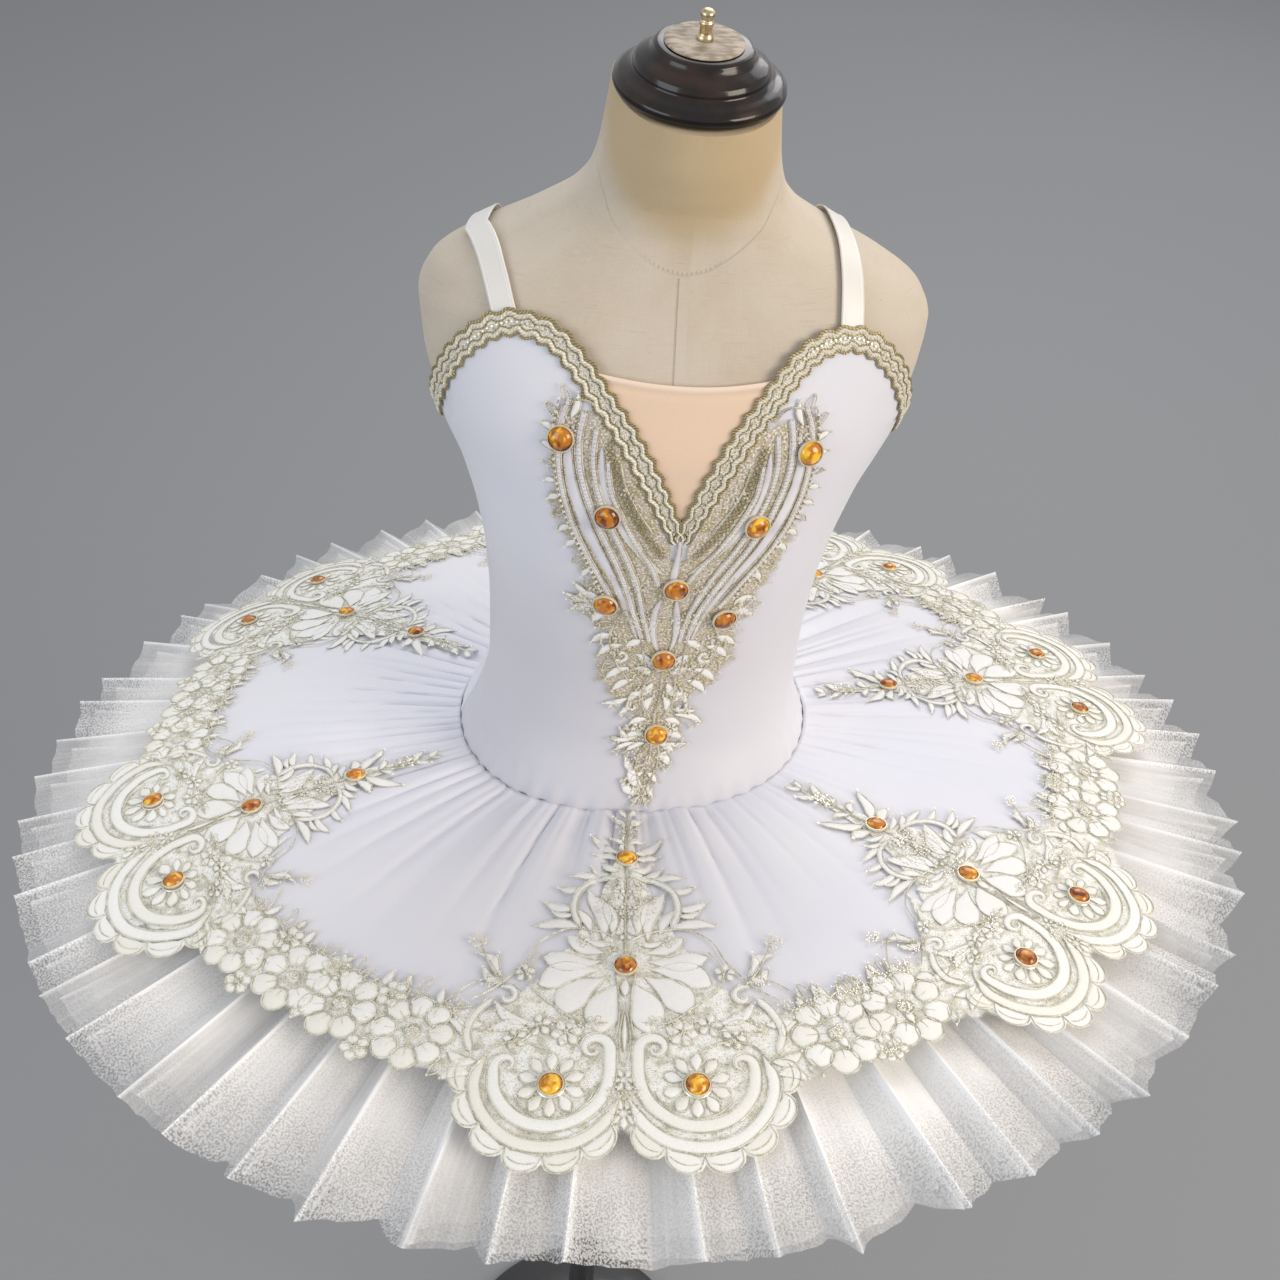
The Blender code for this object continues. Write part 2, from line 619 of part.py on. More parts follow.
def build_brief(white_cloth):
    """Front and back of the brief, from the hip seam down to the leg openings."""
    leg = np.array([-89.7, -76, -62, -48, -34, -22, -11, 0, 11, 22, 34, 48, 62, 76, 89.7])
    for name, angles in (("brief_front", leg), ("brief_back", leg + 180)):
        folded = np.abs(np.where(angles > 180, 360 - angles, angles))
        top = hip_height(angles, BODICE_DROP - SEAM)
        bottom = smooth(LEG_LINE, "height", folded, key="angle")
        share = np.linspace(0, 1, 6)[:, None]
        heights = bottom + (top - bottom) * share
        points = form_point(np.broadcast_to(angles, heights.shape), heights)
        add_wall(name, on_form(points, FORM_GAP), white_cloth)


def pleat_stations():
    """Angle of each ridge and valley, in turn, and how tall each one is."""
    count = np.arange(PLEATS)
    around = 2 * math.pi * count / PLEATS
    width = 1 + 0.22 * np.sin(17 * around) + 0.15 * np.sin(23 * around + 1.0)
    start = np.concatenate([[0.0], np.cumsum(width)])
    start = start * 360 / start[-1]
    valley = start[:-1] + np.diff(start) * PLEAT_LONG_SIDE
    angles = np.stack([start[:-1], valley], axis=1).ravel() - 180
    tall = 1 + 0.20 * np.sin(11 * around + 0.4) + 0.12 * np.sin(19 * around)
    return angles, np.repeat(tall, 2)


def build_nets(net):
    """Three layers of pleated net, nested under each other with their pleats in step."""
    angles, tall = pleat_stations()
    way = np.tile([1.0, -1.0], PLEATS)
    bend_radius, bend_lift = TOP_NET_BEND
    for number, (root, hem, radius) in enumerate(zip(NETS["root"], NETS["hem"], NETS["radius"]), 1):
        root_radius = hip_radius(angles, root, SECOND_LAYER)
        hem_radius = radius + PLEAT_POINT * way * tall
        rings = [(hem_radius, hem), (root_radius, root)]
        if number == 1:
            rings.insert(1, (np.full(2 * PLEATS, bend_radius), bend_lift))
        rows = []
        for ring_radius, lift in rings:
            reach = (ring_radius - root_radius) / (NETS["radius"][0] - root_radius)
            rise = PLEAT_ROOT_RISE + (PLEAT_RISE * tall - PLEAT_ROOT_RISE) * reach
            rows.append(skirt_point(angles, ring_radius, lift + rise * way))
        add_wall(f"net_layer_{number}", np.stack(rows), net, closed=True)


def dome_lift(radius):
    """Lift of the skirt's dome at a radius."""
    share = np.clip((radius - DOME_INNER) / (DOME_OUTER - DOME_INNER), 0, None)
    return DOME_TOP - DOME_DROOP * share**3


def overlay_lift(angle, radius):
    """Lift of the overlay's underside, with its soft gathers near the hip."""
    fade = np.clip((GATHER_REACH - radius) / (GATHER_REACH - DOME_INNER), 0, 1)
    wave = 4 * np.abs((angle * GATHERS / 360) % 1 - 0.5) - 1
    gather = GATHER_RISE * fade * wave
    return dome_lift(radius) - CLOTH - LAYER + gather


def build_overlay(white_cloth):
    """The smooth cloth plate over the net, gathered to the hip."""
    angles = np.arange(4 * GATHERS) * 90 / GATHERS
    inner = hip_radius(angles, DOME_TOP - CLOTH - LAYER, SECOND_LAYER)
    share = np.array([1.0, 0.67, 0.32, 0.0])[:, None]
    radius = inner + (OVERLAY_RADIUS - inner) * share
    turn = np.broadcast_to(angles, radius.shape)
    add_wall("skirt_overlay", skirt_point(turn, radius, overlay_lift(turn, radius)), white_cloth,
             closed=True)


def build_skirt_lace(lace):
    """Seven lace motifs round the skirt, each running to the middle of the next gap."""
    count = len(LACE_ANGLES)
    for number, middle in enumerate(LACE_ANGLES):
        before = (middle - LACE_ANGLES[number - 1]) % 360 / 2
        after = (LACE_ANGLES[(number + 1) % count] - middle) % 360 / 2
        half = SKIRT_LACE["angle"]
        left = -np.append(half[half < before - 1.5], before - 0.06)[::-1]
        right = np.append(half[half < after - 1.5], after - 0.06)[1:]
        offset = np.concatenate([left, right])
        inner = smooth(SKIRT_LACE, "inner", np.abs(offset), key="angle")
        outer = smooth(SKIRT_LACE, "outer", np.abs(offset), key="angle")
        edge = np.full(len(offset), OVERLAY_RADIUS + 0.002)
        radius = np.stack([outer, edge, 0.58 * edge + 0.42 * inner, inner])
        turn = np.broadcast_to(offset + middle, radius.shape)
        lift = overlay_lift(turn, radius) + CLOTH + LACE_LAYER
        add_wall(f"skirt_lace_{number + 1}", skirt_point(turn, radius, lift), lace)


# ---- the whole thing ------------------------------------------------------------------------

def main():
    """Build the dress form, its stand and the tutu on it."""
    clear_scene()
    parts = bpy.data.collections.new("ballet_tutu")
    bpy.context.scene.collection.children.link(parts)

    linen = material("linen", (0.78, 0.72, 0.61), 0.85)
    black_wood = material("black_wood", (0.012, 0.011, 0.011), 0.22)
    worn_wood = material("worn_wood", (0.62, 0.56, 0.47), 0.60)
    brass = material("brass", (0.80, 0.66, 0.42), 0.28, metallic=1.0)
    iron = material("black_iron", (0.02, 0.02, 0.02), 0.40, metallic=0.6)
    white_cloth = material("white_stretch_cloth", (0.90, 0.89, 0.92), 0.55)
    skin_net = material("skin_stretch_net", (0.90, 0.72, 0.60), 0.60)
    braid = material("cream_braid", (0.86, 0.80, 0.68), 0.55)
    elastic = material("white_satin_elastic", (0.93, 0.92, 0.90), 0.35)
    lace = material("cream_lace", (0.88, 0.85, 0.76), 0.60)
    net = material("white_net", (0.93, 0.92, 0.92), 0.65)
    amber = material("amber_stone", (0.80, 0.36, 0.03), 0.08)

    build_form(linen)
    build_cap(black_wood, worn_wood, brass)
    build_stand(iron)
    build_bodice(white_cloth)
    build_insert(skin_net)
    build_trims(braid)
    build_straps(elastic)
    build_bodice_lace(lace)
    build_bodice_gems(amber)
    build_brief(white_cloth)
    build_nets(net)
    build_overlay(white_cloth)
    build_skirt_lace(lace)


main()
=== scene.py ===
import math

import bmesh
import bpy
import numpy as np
from bpy.props import FloatProperty, FloatVectorProperty, PointerProperty
from mathutils import Matrix


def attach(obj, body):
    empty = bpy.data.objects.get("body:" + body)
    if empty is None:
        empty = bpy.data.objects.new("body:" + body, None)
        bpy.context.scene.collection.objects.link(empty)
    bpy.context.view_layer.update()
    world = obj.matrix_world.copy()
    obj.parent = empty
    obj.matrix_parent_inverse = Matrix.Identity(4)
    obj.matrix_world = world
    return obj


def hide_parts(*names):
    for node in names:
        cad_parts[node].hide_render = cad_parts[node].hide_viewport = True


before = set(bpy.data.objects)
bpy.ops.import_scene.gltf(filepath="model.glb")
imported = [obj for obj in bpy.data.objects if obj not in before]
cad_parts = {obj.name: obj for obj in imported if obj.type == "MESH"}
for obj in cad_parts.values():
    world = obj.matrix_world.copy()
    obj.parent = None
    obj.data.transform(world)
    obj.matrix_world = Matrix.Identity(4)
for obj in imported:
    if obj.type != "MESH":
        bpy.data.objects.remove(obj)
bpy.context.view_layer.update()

bl_info = {
    "name": "Ballet Tutu",
    "version": (1, 0, 0),
    "blender": (4, 5, 0),
    "location": "View3D > Sidebar > Tutu",
    "description": "A child's platter tutu with beaded lace, worn on a dress form",
    "category": "Add Mesh",
}


def table(names, *rows):
    """Return named columns, as arrays, from rows of numbers."""
    return dict(zip(names.split(), np.array(rows, dtype=float).T))


# ---- sizes shared with the frame, in metres; angles in degrees from the front ----

HIP_HEIGHT = 0.955
SKIRT_OFFSET = (-0.0045, 0.0, 0.0)
SKIRT_RISE_FRONT = 7.8
SKIRT_RISE_RIGHT = 3.6
FORM_RADIUS = 0.1                     # a mean one, for distances round the form
FRONT_RADIUS = 0.105                  # the same, at the waist's front
FORM_GAP = 0.0018
SECOND_LAYER = 0.0036
THIRD_LAYER = 0.0054
SEAM = 0.0006

TORSO = table(
    "height side front back lean",
    (-0.15, 0.056, 0.05, 0.05, 0), (-0.145, 0.075, 0.067, 0.068, 0),
    (-0.13, 0.095, 0.084, 0.086, 0), (-0.1, 0.108, 0.094, 0.097, 0),
    (-0.06, 0.114, 0.098, 0.101, 0), (-0.025, 0.1135, 0.1, 0.1, 0),
    (0, 0.108, 0.098, 0.095, 0), (0.028, 0.0965, 0.092, 0.084, 0),
    (0.056, 0.0905, 0.084, 0.076, 0), (0.09, 0.0905, 0.08, 0.073, 0),
    (0.13, 0.0925, 0.081, 0.074, 0), (0.165, 0.0975, 0.085, 0.078, 0),
    (0.2, 0.1065, 0.087, 0.083, 0), (0.232, 0.1195, 0.085, 0.084, 0),
    (0.26, 0.1275, 0.077, 0.08, 0), (0.285, 0.1295, 0.067, 0.071, 0),
    (0.299, 0.1235, 0.06, 0.065, 0), (0.311, 0.106, 0.055, 0.061, 0),
    (0.323, 0.08, 0.051, 0.057, 0), (0.335, 0.0575, 0.049, 0.054, 1),
    (0.346, 0.0475, 0.049, 0.05, 5), (0.36, 0.0432, 0.051, 0.042, 9),
    (0.376, 0.041, 0.053, 0.034, 11), (0.391, 0.0392, 0.053, 0.028, 11),
)
ROUNDNESS = 2.2
CHEST_CENTRE = 0.24

NECKLINE = table(
    "angle height",
    (0, 0.193), (5.5, 0.2115), (12, 0.2312), (20, 0.249), (29.5, 0.265),
    (37, 0.2765), (44, 0.285), (50.5, 0.2892), (55.5, 0.29), (60, 0.2868),
    (64, 0.2785), (67, 0.269), (69.5, 0.259), (72.5, 0.248), (77, 0.236),
    (83, 0.226), (90, 0.218), (105, 0.207), (125, 0.1985), (150, 0.193),
    (180, 0.191),
)
NECK_SHIFT = 2.6
STRAP_ANGLE = 55.5
BODICE_DROP = -0.004
TRIM_SIDE = 84.0
INSERT_EDGE = 0.2715
INSERT_RISE = 0.0035
INSERT_REACH = 33.0
STRAP_WIDTH = 0.012
STRAPS = table("side front top back", (-1, -0.08, -0.1, -0.078), (1, 0.08, 0.077, 0.078))
STRAP_FRONT_HEIGHT = 0.2915
STRAP_BACK_HEIGHT = 0.202

DOME_INNER = 0.11
DOME_OUTER = 0.37
DOME_TOP = 0.0065
HIP_FLARE = 0.0075
DOME_DROOP = 0.028
NETS = table(
    "root hem radius",
    (-0.0035, -0.0245, 0.369), (-0.013, -0.0315, 0.361), (-0.024, -0.039, 0.346),
)
TOP_NET_BEND = (0.25, -0.0095)
PLEATS = 58
PLEAT_LONG_SIDE = 0.7
PLEAT_RISE = 0.0055
PLEAT_ROOT_RISE = 0.0006
PLEAT_POINT = 0.0045
OVERLAY_RADIUS = 0.282

SKIRT_LACE = table(
    "angle inner outer",
    (0, 0.118, 0.32), (3, 0.16, 0.329), (5.5, 0.192, 0.334), (8.5, 0.224, 0.331),
    (11.5, 0.246, 0.32), (14.5, 0.26, 0.308), (18, 0.262, 0.303), (33, 0.27, 0.3),
)

BODICE_LACE = table(
    "height left right",
    (0.0208, 0.0045, 0.003), (0.028, 0.012, 0.007), (0.038, 0.015, 0.009),
    (0.046, 0.012, 0.014), (0.054, 0.02, 0.017), (0.063, 0.019, 0.02),
    (0.072, 0.012, 0.02), (0.079, 0.015, 0.019), (0.087, 0.027, 0.024),
    (0.097, 0.035, 0.037), (0.11, 0.037, 0.043), (0.124, 0.035, 0.046),
    (0.137, 0.037, 0.045), (0.148, 0.05, 0.047), (0.156, 0.049, 0.052),
    (0.164, 0.044, 0.056), (0.18, 0.05, 0.062), (0.2, 0.059, 0.066),
    (0.222, 0.064, 0.0685), (0.244, 0.064, 0.069), (0.258, 0.0615, 0.0665),
)
BODICE_GEMS = table(
    "across height",
    (-0.0555, 0.2444), (0.0621, 0.2415), (-0.0319, 0.2078), (0.0406, 0.2043),
    (0.0046, 0.1667), (-0.0293, 0.1524), (0.0315, 0.1442), (0.0028, 0.1159),
    (0.003, 0.0627),
)

LEG_LINE = table(
    "angle height",
    (0, -0.13), (12, -0.127), (26, -0.108), (45, -0.08), (68, -0.064),
    (90, -0.06), (112, -0.07), (136, -0.096), (156, -0.121), (168, -0.129),
    (180, -0.13),
)

CAP_LEAN = 11.0
TOUCH = 0.0003
HUB_HEIGHT = 0.048
COLLAR_HEIGHT = 0.022
POLE_RADIUS = 0.0125

# Profiles of the turned pieces: radius and height, from the top down.
CAP_PROFILE = (
    (0, 0.0212), (0.0206, 0.0212), (0.0224, 0.0203), (0.023, 0.0188), (0.0242, 0.0172),
    (0.0272, 0.0158), (0.03, 0.0143), (0.0311, 0.0122), (0.0314, 0.0104), (0.0334, 0.009),
    (0.037, 0.0076), (0.0392, 0.0054), (0.0396, 0.0032), (0.0388, 0.0013), (0.037, 0),
    (0, 0),
)
DISC_PROFILE = ((0.0, 0.0012), (0.0174, 0.0012), (0.0182, 0.0006), (0.0182, 0.0), (0.0, 0.0))
FINIAL_PROFILE = (
    (0, 0.013), (0.0018, 0.0127), (0.0031, 0.0116), (0.0033, 0.0102), (0.0026, 0.0089),
    (0.0026, 0.0082), (0.0033, 0.0074), (0.0033, 0.0063), (0.0028, 0.0054), (0.0028, 0.0024),
    (0.0036, 0.0013), (0.0038, 0), (0, 0),
)
BASE_PROFILE = (
    (0, 0.048), (0.018, 0.048), (0.02, 0.046), (0.0205, 0.04), (0.029, 0.0345),
    (0.056, 0.03), (0.086, 0.0225), (0.112, 0.014), (0.121, 0.0105), (0.125, 0.006),
    (0.125, 0), (0, 0),
)
COLLAR_PROFILE = (
    (0, 0.022), (0.03, 0.022), (0.03, 0.018), (0.021, 0.014), (0.018, 0), (0, 0),
)


# ---- curves through tables ----

def cubic(t, start, end, leave, arrive):
    """A cubic from start to end as t goes from 0 to 1, with a slope at each of them."""
    return ((2 * t**3 - 3 * t**2 + 1) * start + (t**3 - 2 * t**2 + t) * leave
            + (3 * t**2 - 2 * t**3) * end + (t**3 - t**2) * arrive)


def smooth(columns, name, at, key="height"):
    """Read a column with a cubic that passes through its rows and never overshoots them."""
    known = columns[key]
    values = columns[name]
    step = np.diff(known)
    slope = np.diff(values) / step
    before = 2 * step[1:] + step[:-1]
    after = step[1:] + 2 * step[:-1]
    same_way = slope[:-1] * slope[1:] > 0
    left = np.where(same_way, slope[:-1], 1.0)
    right = np.where(same_way, slope[1:], 1.0)
    inner = np.where(same_way, (before + after) / (before / left + after / right), 0.0)
    tangent = np.concatenate([slope[:1], inner, slope[-1:]])
    at = np.clip(np.asarray(at, dtype=float), known[0], known[-1])
    row = np.clip(np.searchsorted(known, at) - 1, 0, len(known) - 2)
    return cubic((at - known[row]) / step[row], values[row], values[row + 1],
                 step[row] * tangent[row], step[row] * tangent[row + 1])


def between(low, high, share):
    """From low to high by a share from 0 to 1."""
    return low + (high - low) * share


def stacked(*parts):
    """Arrays, spread to one shape, along a new last axis."""
    return np.stack(np.broadcast_arrays(*parts), axis=-1)


def rows_of(count):
    """Even shares from 0 to 1, one for each row of a grid."""
    return np.linspace(0, 1, count)[:, None]


def lengths_along(points):
    """Distance along a line of points, starting from 0."""
    return np.concatenate([[0.0], np.cumsum(np.linalg.norm(np.diff(points, axis=0), axis=1))])


def read_along(wanted, along, points):
    """The points of a line, and what they carry, at the wanted distances along it."""
    return stacked(*(np.interp(wanted, along, part) for part in points.T))


def resample(points, count):
    """The same line with evenly spaced points, and their distances along it."""
    along = lengths_along(points)
    wanted = np.linspace(0, along[-1], count)
    return read_along(wanted, along, points), wanted


def spread_evenly(spread, count):
    """The same for a flat line whose points carry more numbers after their place."""
    along = lengths_along(spread[:, :2])
    return read_along(np.linspace(0, along[-1], count), along, spread)


def unit(vectors):
    """Vectors over their own length."""
    return vectors / np.linalg.norm(vectors, axis=-1, keepdims=True)


def fade(value, start, end):
    """0 before start, 1 after end, and a soft cubic step between."""
    t = np.clip((value - start) / (end - start), 0, 1)
    return t * t * (3 - 2 * t)


def ripple(seed, *coordinates, waves=5, lowest=1.0, highest=4.0):
    """Uneven waves between about -1 and 1: a sum of sines whose directions, sizes and phases
    come from the seed. The coordinates are arrays of the same shape."""
    dice = np.random.default_rng(seed)
    total = 0.0
    for _ in range(waves):
        turns = dice.uniform(lowest, highest, len(coordinates)) * dice.choice([-1, 1], len(coordinates))
        angle = sum(turn * axis for turn, axis in zip(turns, coordinates))
        total = total + np.sin(angle + dice.uniform(0, 2 * math.pi))
    return total / waves


def folded(angle):
    """Degrees from the front, the same on both sides."""
    return np.abs((np.asarray(angle, dtype=float) + 180) % 360 - 180)


# ---- the form's surface ----

def form_depth(height, at_front):
    """Depth of the form's section, to the front or to the back."""
    return np.where(at_front, smooth(TORSO, "front", height), smooth(TORSO, "back", height))


def form_point(angle, height, lean=0.0):
    """Each section is a rounded ellipse with its own half width, front depth and back depth:
    the point lies at the distance where (x / side)^n + (y / depth)^n = 1."""
    turn = np.radians(angle)
    reach = ((np.abs(np.sin(turn)) / smooth(TORSO, "side", height))**ROUNDNESS
             + (np.abs(np.cos(turn)) / form_depth(height, np.cos(turn) > 0))**ROUNDNESS)**(-1 / ROUNDNESS)
    x = reach * np.sin(turn)
    y = -reach * np.cos(turn)
    z = HIP_HEIGHT + height + y * np.tan(np.radians(lean))
    return stacked(x, y, z)


def form_level(points):
    """Negative inside the form, zero on its surface and positive outside."""
    height = points[..., 2] - HIP_HEIGHT
    depth = form_depth(height, points[..., 1] < 0)
    return ((np.abs(points[..., 0]) / smooth(TORSO, "side", height))**ROUNDNESS
            + (np.abs(points[..., 1]) / depth)**ROUNDNESS)**(1 / ROUNDNESS) - 1


def form_slope(points, step=1e-5):
    """Gradient of form_level by small steps along X, Y and Z."""
    return stacked(*((form_level(points + step * axis) - form_level(points - step * axis)) / (2 * step)
                     for axis in np.eye(3)))


def on_form(points, gap):
    """Bring points to the form's surface along its slope, then move them out by the gap."""
    for _ in range(5):
        slope = form_slope(points)
        size = np.linalg.norm(slope, axis=-1, keepdims=True)
        points = points - slope / size * (form_level(points)[..., None] / size)
    return points + np.asarray(gap)[..., None] * unit(form_slope(points))


def front_plan(across, height, lift):
    """Lay a drawing on the form's front: across and height above the hip give the point of
    the surface, and lift moves it out square to the surface."""
    share = np.abs(across / smooth(TORSO, "side", height))**ROUNDNESS
    y = -smooth(TORSO, "front", height) * (1 - share)**(1 / ROUNDNESS)
    points = stacked(across, y, HIP_HEIGHT + height)
    return points + np.asarray(lift)[..., None] * unit(form_slope(points))


# ---- the skirt's plane ----

SKIRT_CENTRE = np.array(SKIRT_OFFSET) + (0.0, 0.0, HIP_HEIGHT)
SKIRT_UP = unit(np.array([-math.tan(math.radians(SKIRT_RISE_RIGHT)),
                          math.tan(math.radians(SKIRT_RISE_FRONT)), 1.0]))
SKIRT_RIGHT = unit(np.cross([0.0, 1.0, 0.0], SKIRT_UP))
SKIRT_BACK = np.cross(SKIRT_UP, SKIRT_RIGHT)


def skirt_point(angle, radius, lift):
    """A point by its angle and radius in the skirt's plane, and its lift above the plane."""
    turn = np.radians(angle)
    right, front, lift = np.broadcast_arrays(radius * np.sin(turn), radius * np.cos(turn), lift)
    return (SKIRT_CENTRE + right[..., None] * SKIRT_RIGHT - front[..., None] * SKIRT_BACK
            + lift[..., None] * SKIRT_UP)


def dome_lift(radius):
    """Lift of the skirt's dome: level near the hip, then drooping with the cube of the radius."""
    share = np.clip((radius - DOME_INNER) / (DOME_OUTER - DOME_INNER), 0, None)
    return DOME_TOP - DOME_DROOP * share**3


def halved(low, high, inside):
    """Arrays between low and high at which `inside` turns from true to false, by halving."""
    for _ in range(32):
        middle = (low + high) / 2
        kept = inside(middle)
        low, high = np.where(kept, middle, low), np.where(kept, high, middle)
    return high


def hip_radius(angle, lift, gap):
    """The radius in the skirt's plane that is a gap away from the form."""
    def near(radius):
        points = skirt_point(angle, radius, lift)
        return form_level(points) / np.linalg.norm(form_slope(points), axis=-1) < gap

    return halved(np.full(np.shape(angle), 0.05), np.full(np.shape(angle), 0.16), near)


def hip_height(angle, lift):
    """The height on the form, at an angle, that has this lift above the skirt's plane."""
    height = np.full(np.shape(angle), float(lift))
    for _ in range(12):
        found = (form_point(angle, height) - SKIRT_CENTRE) @ SKIRT_UP
        height = height - (found - lift)
    return height


# ---- meshes ----

class Patchwork:
    """Gathers grids of points into one mesh, with a UV map in metres and a finish for each."""

    def __init__(self):
        self.points = []
        self.corners = []
        self.sizes = []
        self.uv = []
        self.finish = []
        self.values = []
        self.count = 0

    def patch(self, points, uv, finish=0, turn=None, ends=False, values=None):
        """Add grids (copies, rows, columns, 3). turn joins the last column to the first and is
        the width of a full turn in the UV map; ends closes a tube's first and last row. A face
        looks the way of column cross row. values are numbers kept for the points."""
        if points.ndim == 3:
            points = points[None]
        copies, rows, columns = points.shape[:3]
        uv = np.broadcast_to(uv, (copies, rows, columns, 2))
        index = self.count + np.arange(copies * rows * columns).reshape(copies, rows, columns)
        if turn is not None:
            index = np.concatenate([index, index[:, :, :1]], axis=2)
            uv = np.concatenate([uv, uv[:, :, :1] + (turn, 0.0)], axis=2)
        for grid, kept in ((index[..., None], self.corners), (uv, self.uv)):
            quads = np.stack([grid[:, :-1, :-1], grid[:, :-1, 1:], grid[:, 1:, 1:], grid[:, 1:, :-1]], axis=3)
            kept.append(quads.reshape(-1, grid.shape[-1]))
        quads = copies * (rows - 1) * (index.shape[2] - 1)
        self.sizes.append(np.full(quads, 4))
        if ends:
            for row, way in ((0, -1), (-1, 1)):
                self.corners.append(index[:, row, :columns][:, ::way].reshape(-1, 1))
                self.uv.append(uv[:, row, :columns][:, ::way].reshape(-1, 2))
                self.sizes.append(np.full(copies, columns))
            quads += 2 * copies
        self.points.append(points.reshape(-1, 3))
        self.finish.append(np.full(quads, finish))
        blank = np.zeros((copies, rows, columns))
        self.values.append((blank if values is None else blank + values).ravel())
        self.count += copies * rows * columns

    def piece(self, name, finishes, flat=False, facing=False, value=None):
        """Make the mesh and its object. flat keeps facets, facing turns every closed shape's
        faces outwards, and value names the attribute that keeps the numbers."""
        mesh = bpy.data.meshes.new(name)
        sizes = np.concatenate(self.sizes)
        corners = np.concatenate(self.corners).ravel()
        mesh.vertices.add(self.count)
        mesh.vertices.foreach_set("co", np.concatenate(self.points).astype(np.float32).ravel())
        mesh.loops.add(len(corners))
        mesh.loops.foreach_set("vertex_index", corners.astype(np.int32))
        mesh.polygons.add(len(sizes))
        mesh.polygons.foreach_set("loop_start", (np.cumsum(sizes) - sizes).astype(np.int32))
        mesh.polygons.foreach_set("material_index", np.concatenate(self.finish).astype(np.int32))
        mesh.update(calc_edges=True)
        layer = mesh.uv_layers.new(name="cloth")
        layer.uv.foreach_set("vector", np.concatenate(self.uv).astype(np.float32).ravel())
        for finish in finishes:
            mesh.materials.append(finish)
        if facing:
            soft = bmesh.new()
            soft.from_mesh(mesh)
            bmesh.ops.recalc_face_normals(soft, faces=soft.faces)
            soft.to_mesh(mesh)
            soft.free()
        if not flat:
            mesh.shade_smooth()
            mesh.set_sharp_from_angle(angle=math.radians(50))
        made = bpy.data.objects.new(name, mesh)
        bpy.context.scene.collection.objects.link(made)
        if value:
            note(made, value, np.concatenate(self.values))
        return made


def sheet_of(name, points, uv, finish, turn=None, thickness=None):
    """A piece that is one open grid of points, with a thickness outwards if it is given one."""
    work = Patchwork()
    work.patch(points, uv, turn=turn)
    piece = work.piece(name, [finish])
    if thickness:
        wall = piece.modifiers.new("thickness", "SOLIDIFY")
        wall.thickness = thickness
        wall.offset = 1.0
    return piece


def panel_uv(turn, height):
    """A UV map over the form: the way round at its mean radius, and the height."""
    return stacked(np.radians(turn) * FORM_RADIUS, height)


def note(piece, name, values):
    """Keep a number for each vertex of a piece as an attribute."""
    attribute = piece.data.attributes.new(name, "FLOAT", "POINT")
    attribute.data.foreach_set("value", np.asarray(values, dtype=np.float32).ravel())


def turned(name, profile, finish, place=Matrix(), steps=96):
    """A turned piece: a profile of radius and height, from the top down, rounded at its
    corners and spun about Z. Its first and last radius are 0, so both poles close."""
    profile = np.array(profile)
    along = lengths_along(profile)
    fine = np.unique(np.concatenate([along, along[1:-1] - 0.0003, along[1:-1] + 0.0003]))
    radius, height = (np.interp(fine, along, part) for part in profile.T)
    radius[1:-1] = (radius[:-2] + 2 * radius[1:-1] + radius[2:]) / 4
    height[1:-1] = (height[:-2] + 2 * height[1:-1] + height[2:]) / 4
    radius, height, fine = (part[-2:0:-1, None] for part in (radius, height, fine))
    turn = np.linspace(0, 2 * math.pi, steps + 1)[None, :-1]
    ring = stacked(radius * np.cos(turn), radius * np.sin(turn), height)
    matrix = np.array(place)
    uv = stacked(turn * 0.02, fine)
    work = Patchwork()
    work.patch(ring @ matrix[:3, :3].T + matrix[:3, 3], uv, turn=0.04 * math.pi, ends=True)
    return work.piece(name, [finish])


def stands_for(piece, slot, *nodes):
    """The piece rides on the one body and replaces its CAD nodes, which it hides; slot is not used."""
    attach(piece, "root")
    if nodes:
        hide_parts(*nodes)
    return piece


# ---- shader arithmetic ----

class Term:
    """A node's output that works in Python arithmetic: every operation adds one Math node."""

    def __init__(self, tree, output):
        self.tree, self.output = tree, output

    def math(self, operation, *terms):
        """One Math node over terms and plain numbers."""
        node = self.tree.nodes.new("ShaderNodeMath")
        node.operation = operation
        for socket, term in zip(node.inputs, terms):
            connect(self.tree, socket, term)
        return Term(self.tree, node.outputs[0])

    def __add__(self, other):
        return self.math("ADD", self, other)

    def __sub__(self, other):
        return self.math("SUBTRACT", self, other)

    def __rsub__(self, other):
        return self.math("SUBTRACT", other, self)

    def __mul__(self, other):
        return self.math("MULTIPLY", self, other)

    __radd__ = __add__
    __rmul__ = __mul__

    def wave(self):
        """Sine, from -1 to 1."""
        return self.math("SINE", self)

    def size(self):
        """Absolute value."""
        return self.math("ABSOLUTE", self)

    def most(self, other):
        """The larger of two."""
        return self.math("MAXIMUM", self, other)

    def least(self, other):
        """The smaller of two."""
        return self.math("MINIMUM", self, other)

    def step(self, start, end):
        """0 at start, 1 at end, with a soft step between; start may be the larger."""
        if start > end:
            return 1.0 - self.step(end, start)
        node = self.tree.nodes.new("ShaderNodeMapRange")
        node.interpolation_type = "SMOOTHSTEP"
        connect(self.tree, node.inputs["Value"], self)
        node.inputs["From Min"].default_value = start
        node.inputs["From Max"].default_value = end
        return Term(self.tree, node.outputs["Result"])


def connect(tree, socket, term):
    """Link a term to a socket, or set the socket to a plain value."""
    if isinstance(term, Term):
        tree.links.new(term.output, socket)
    elif hasattr(term, "__len__") and len(socket.default_value) == 4:
        socket.default_value = (*term, 1.0)
    else:
        socket.default_value = term


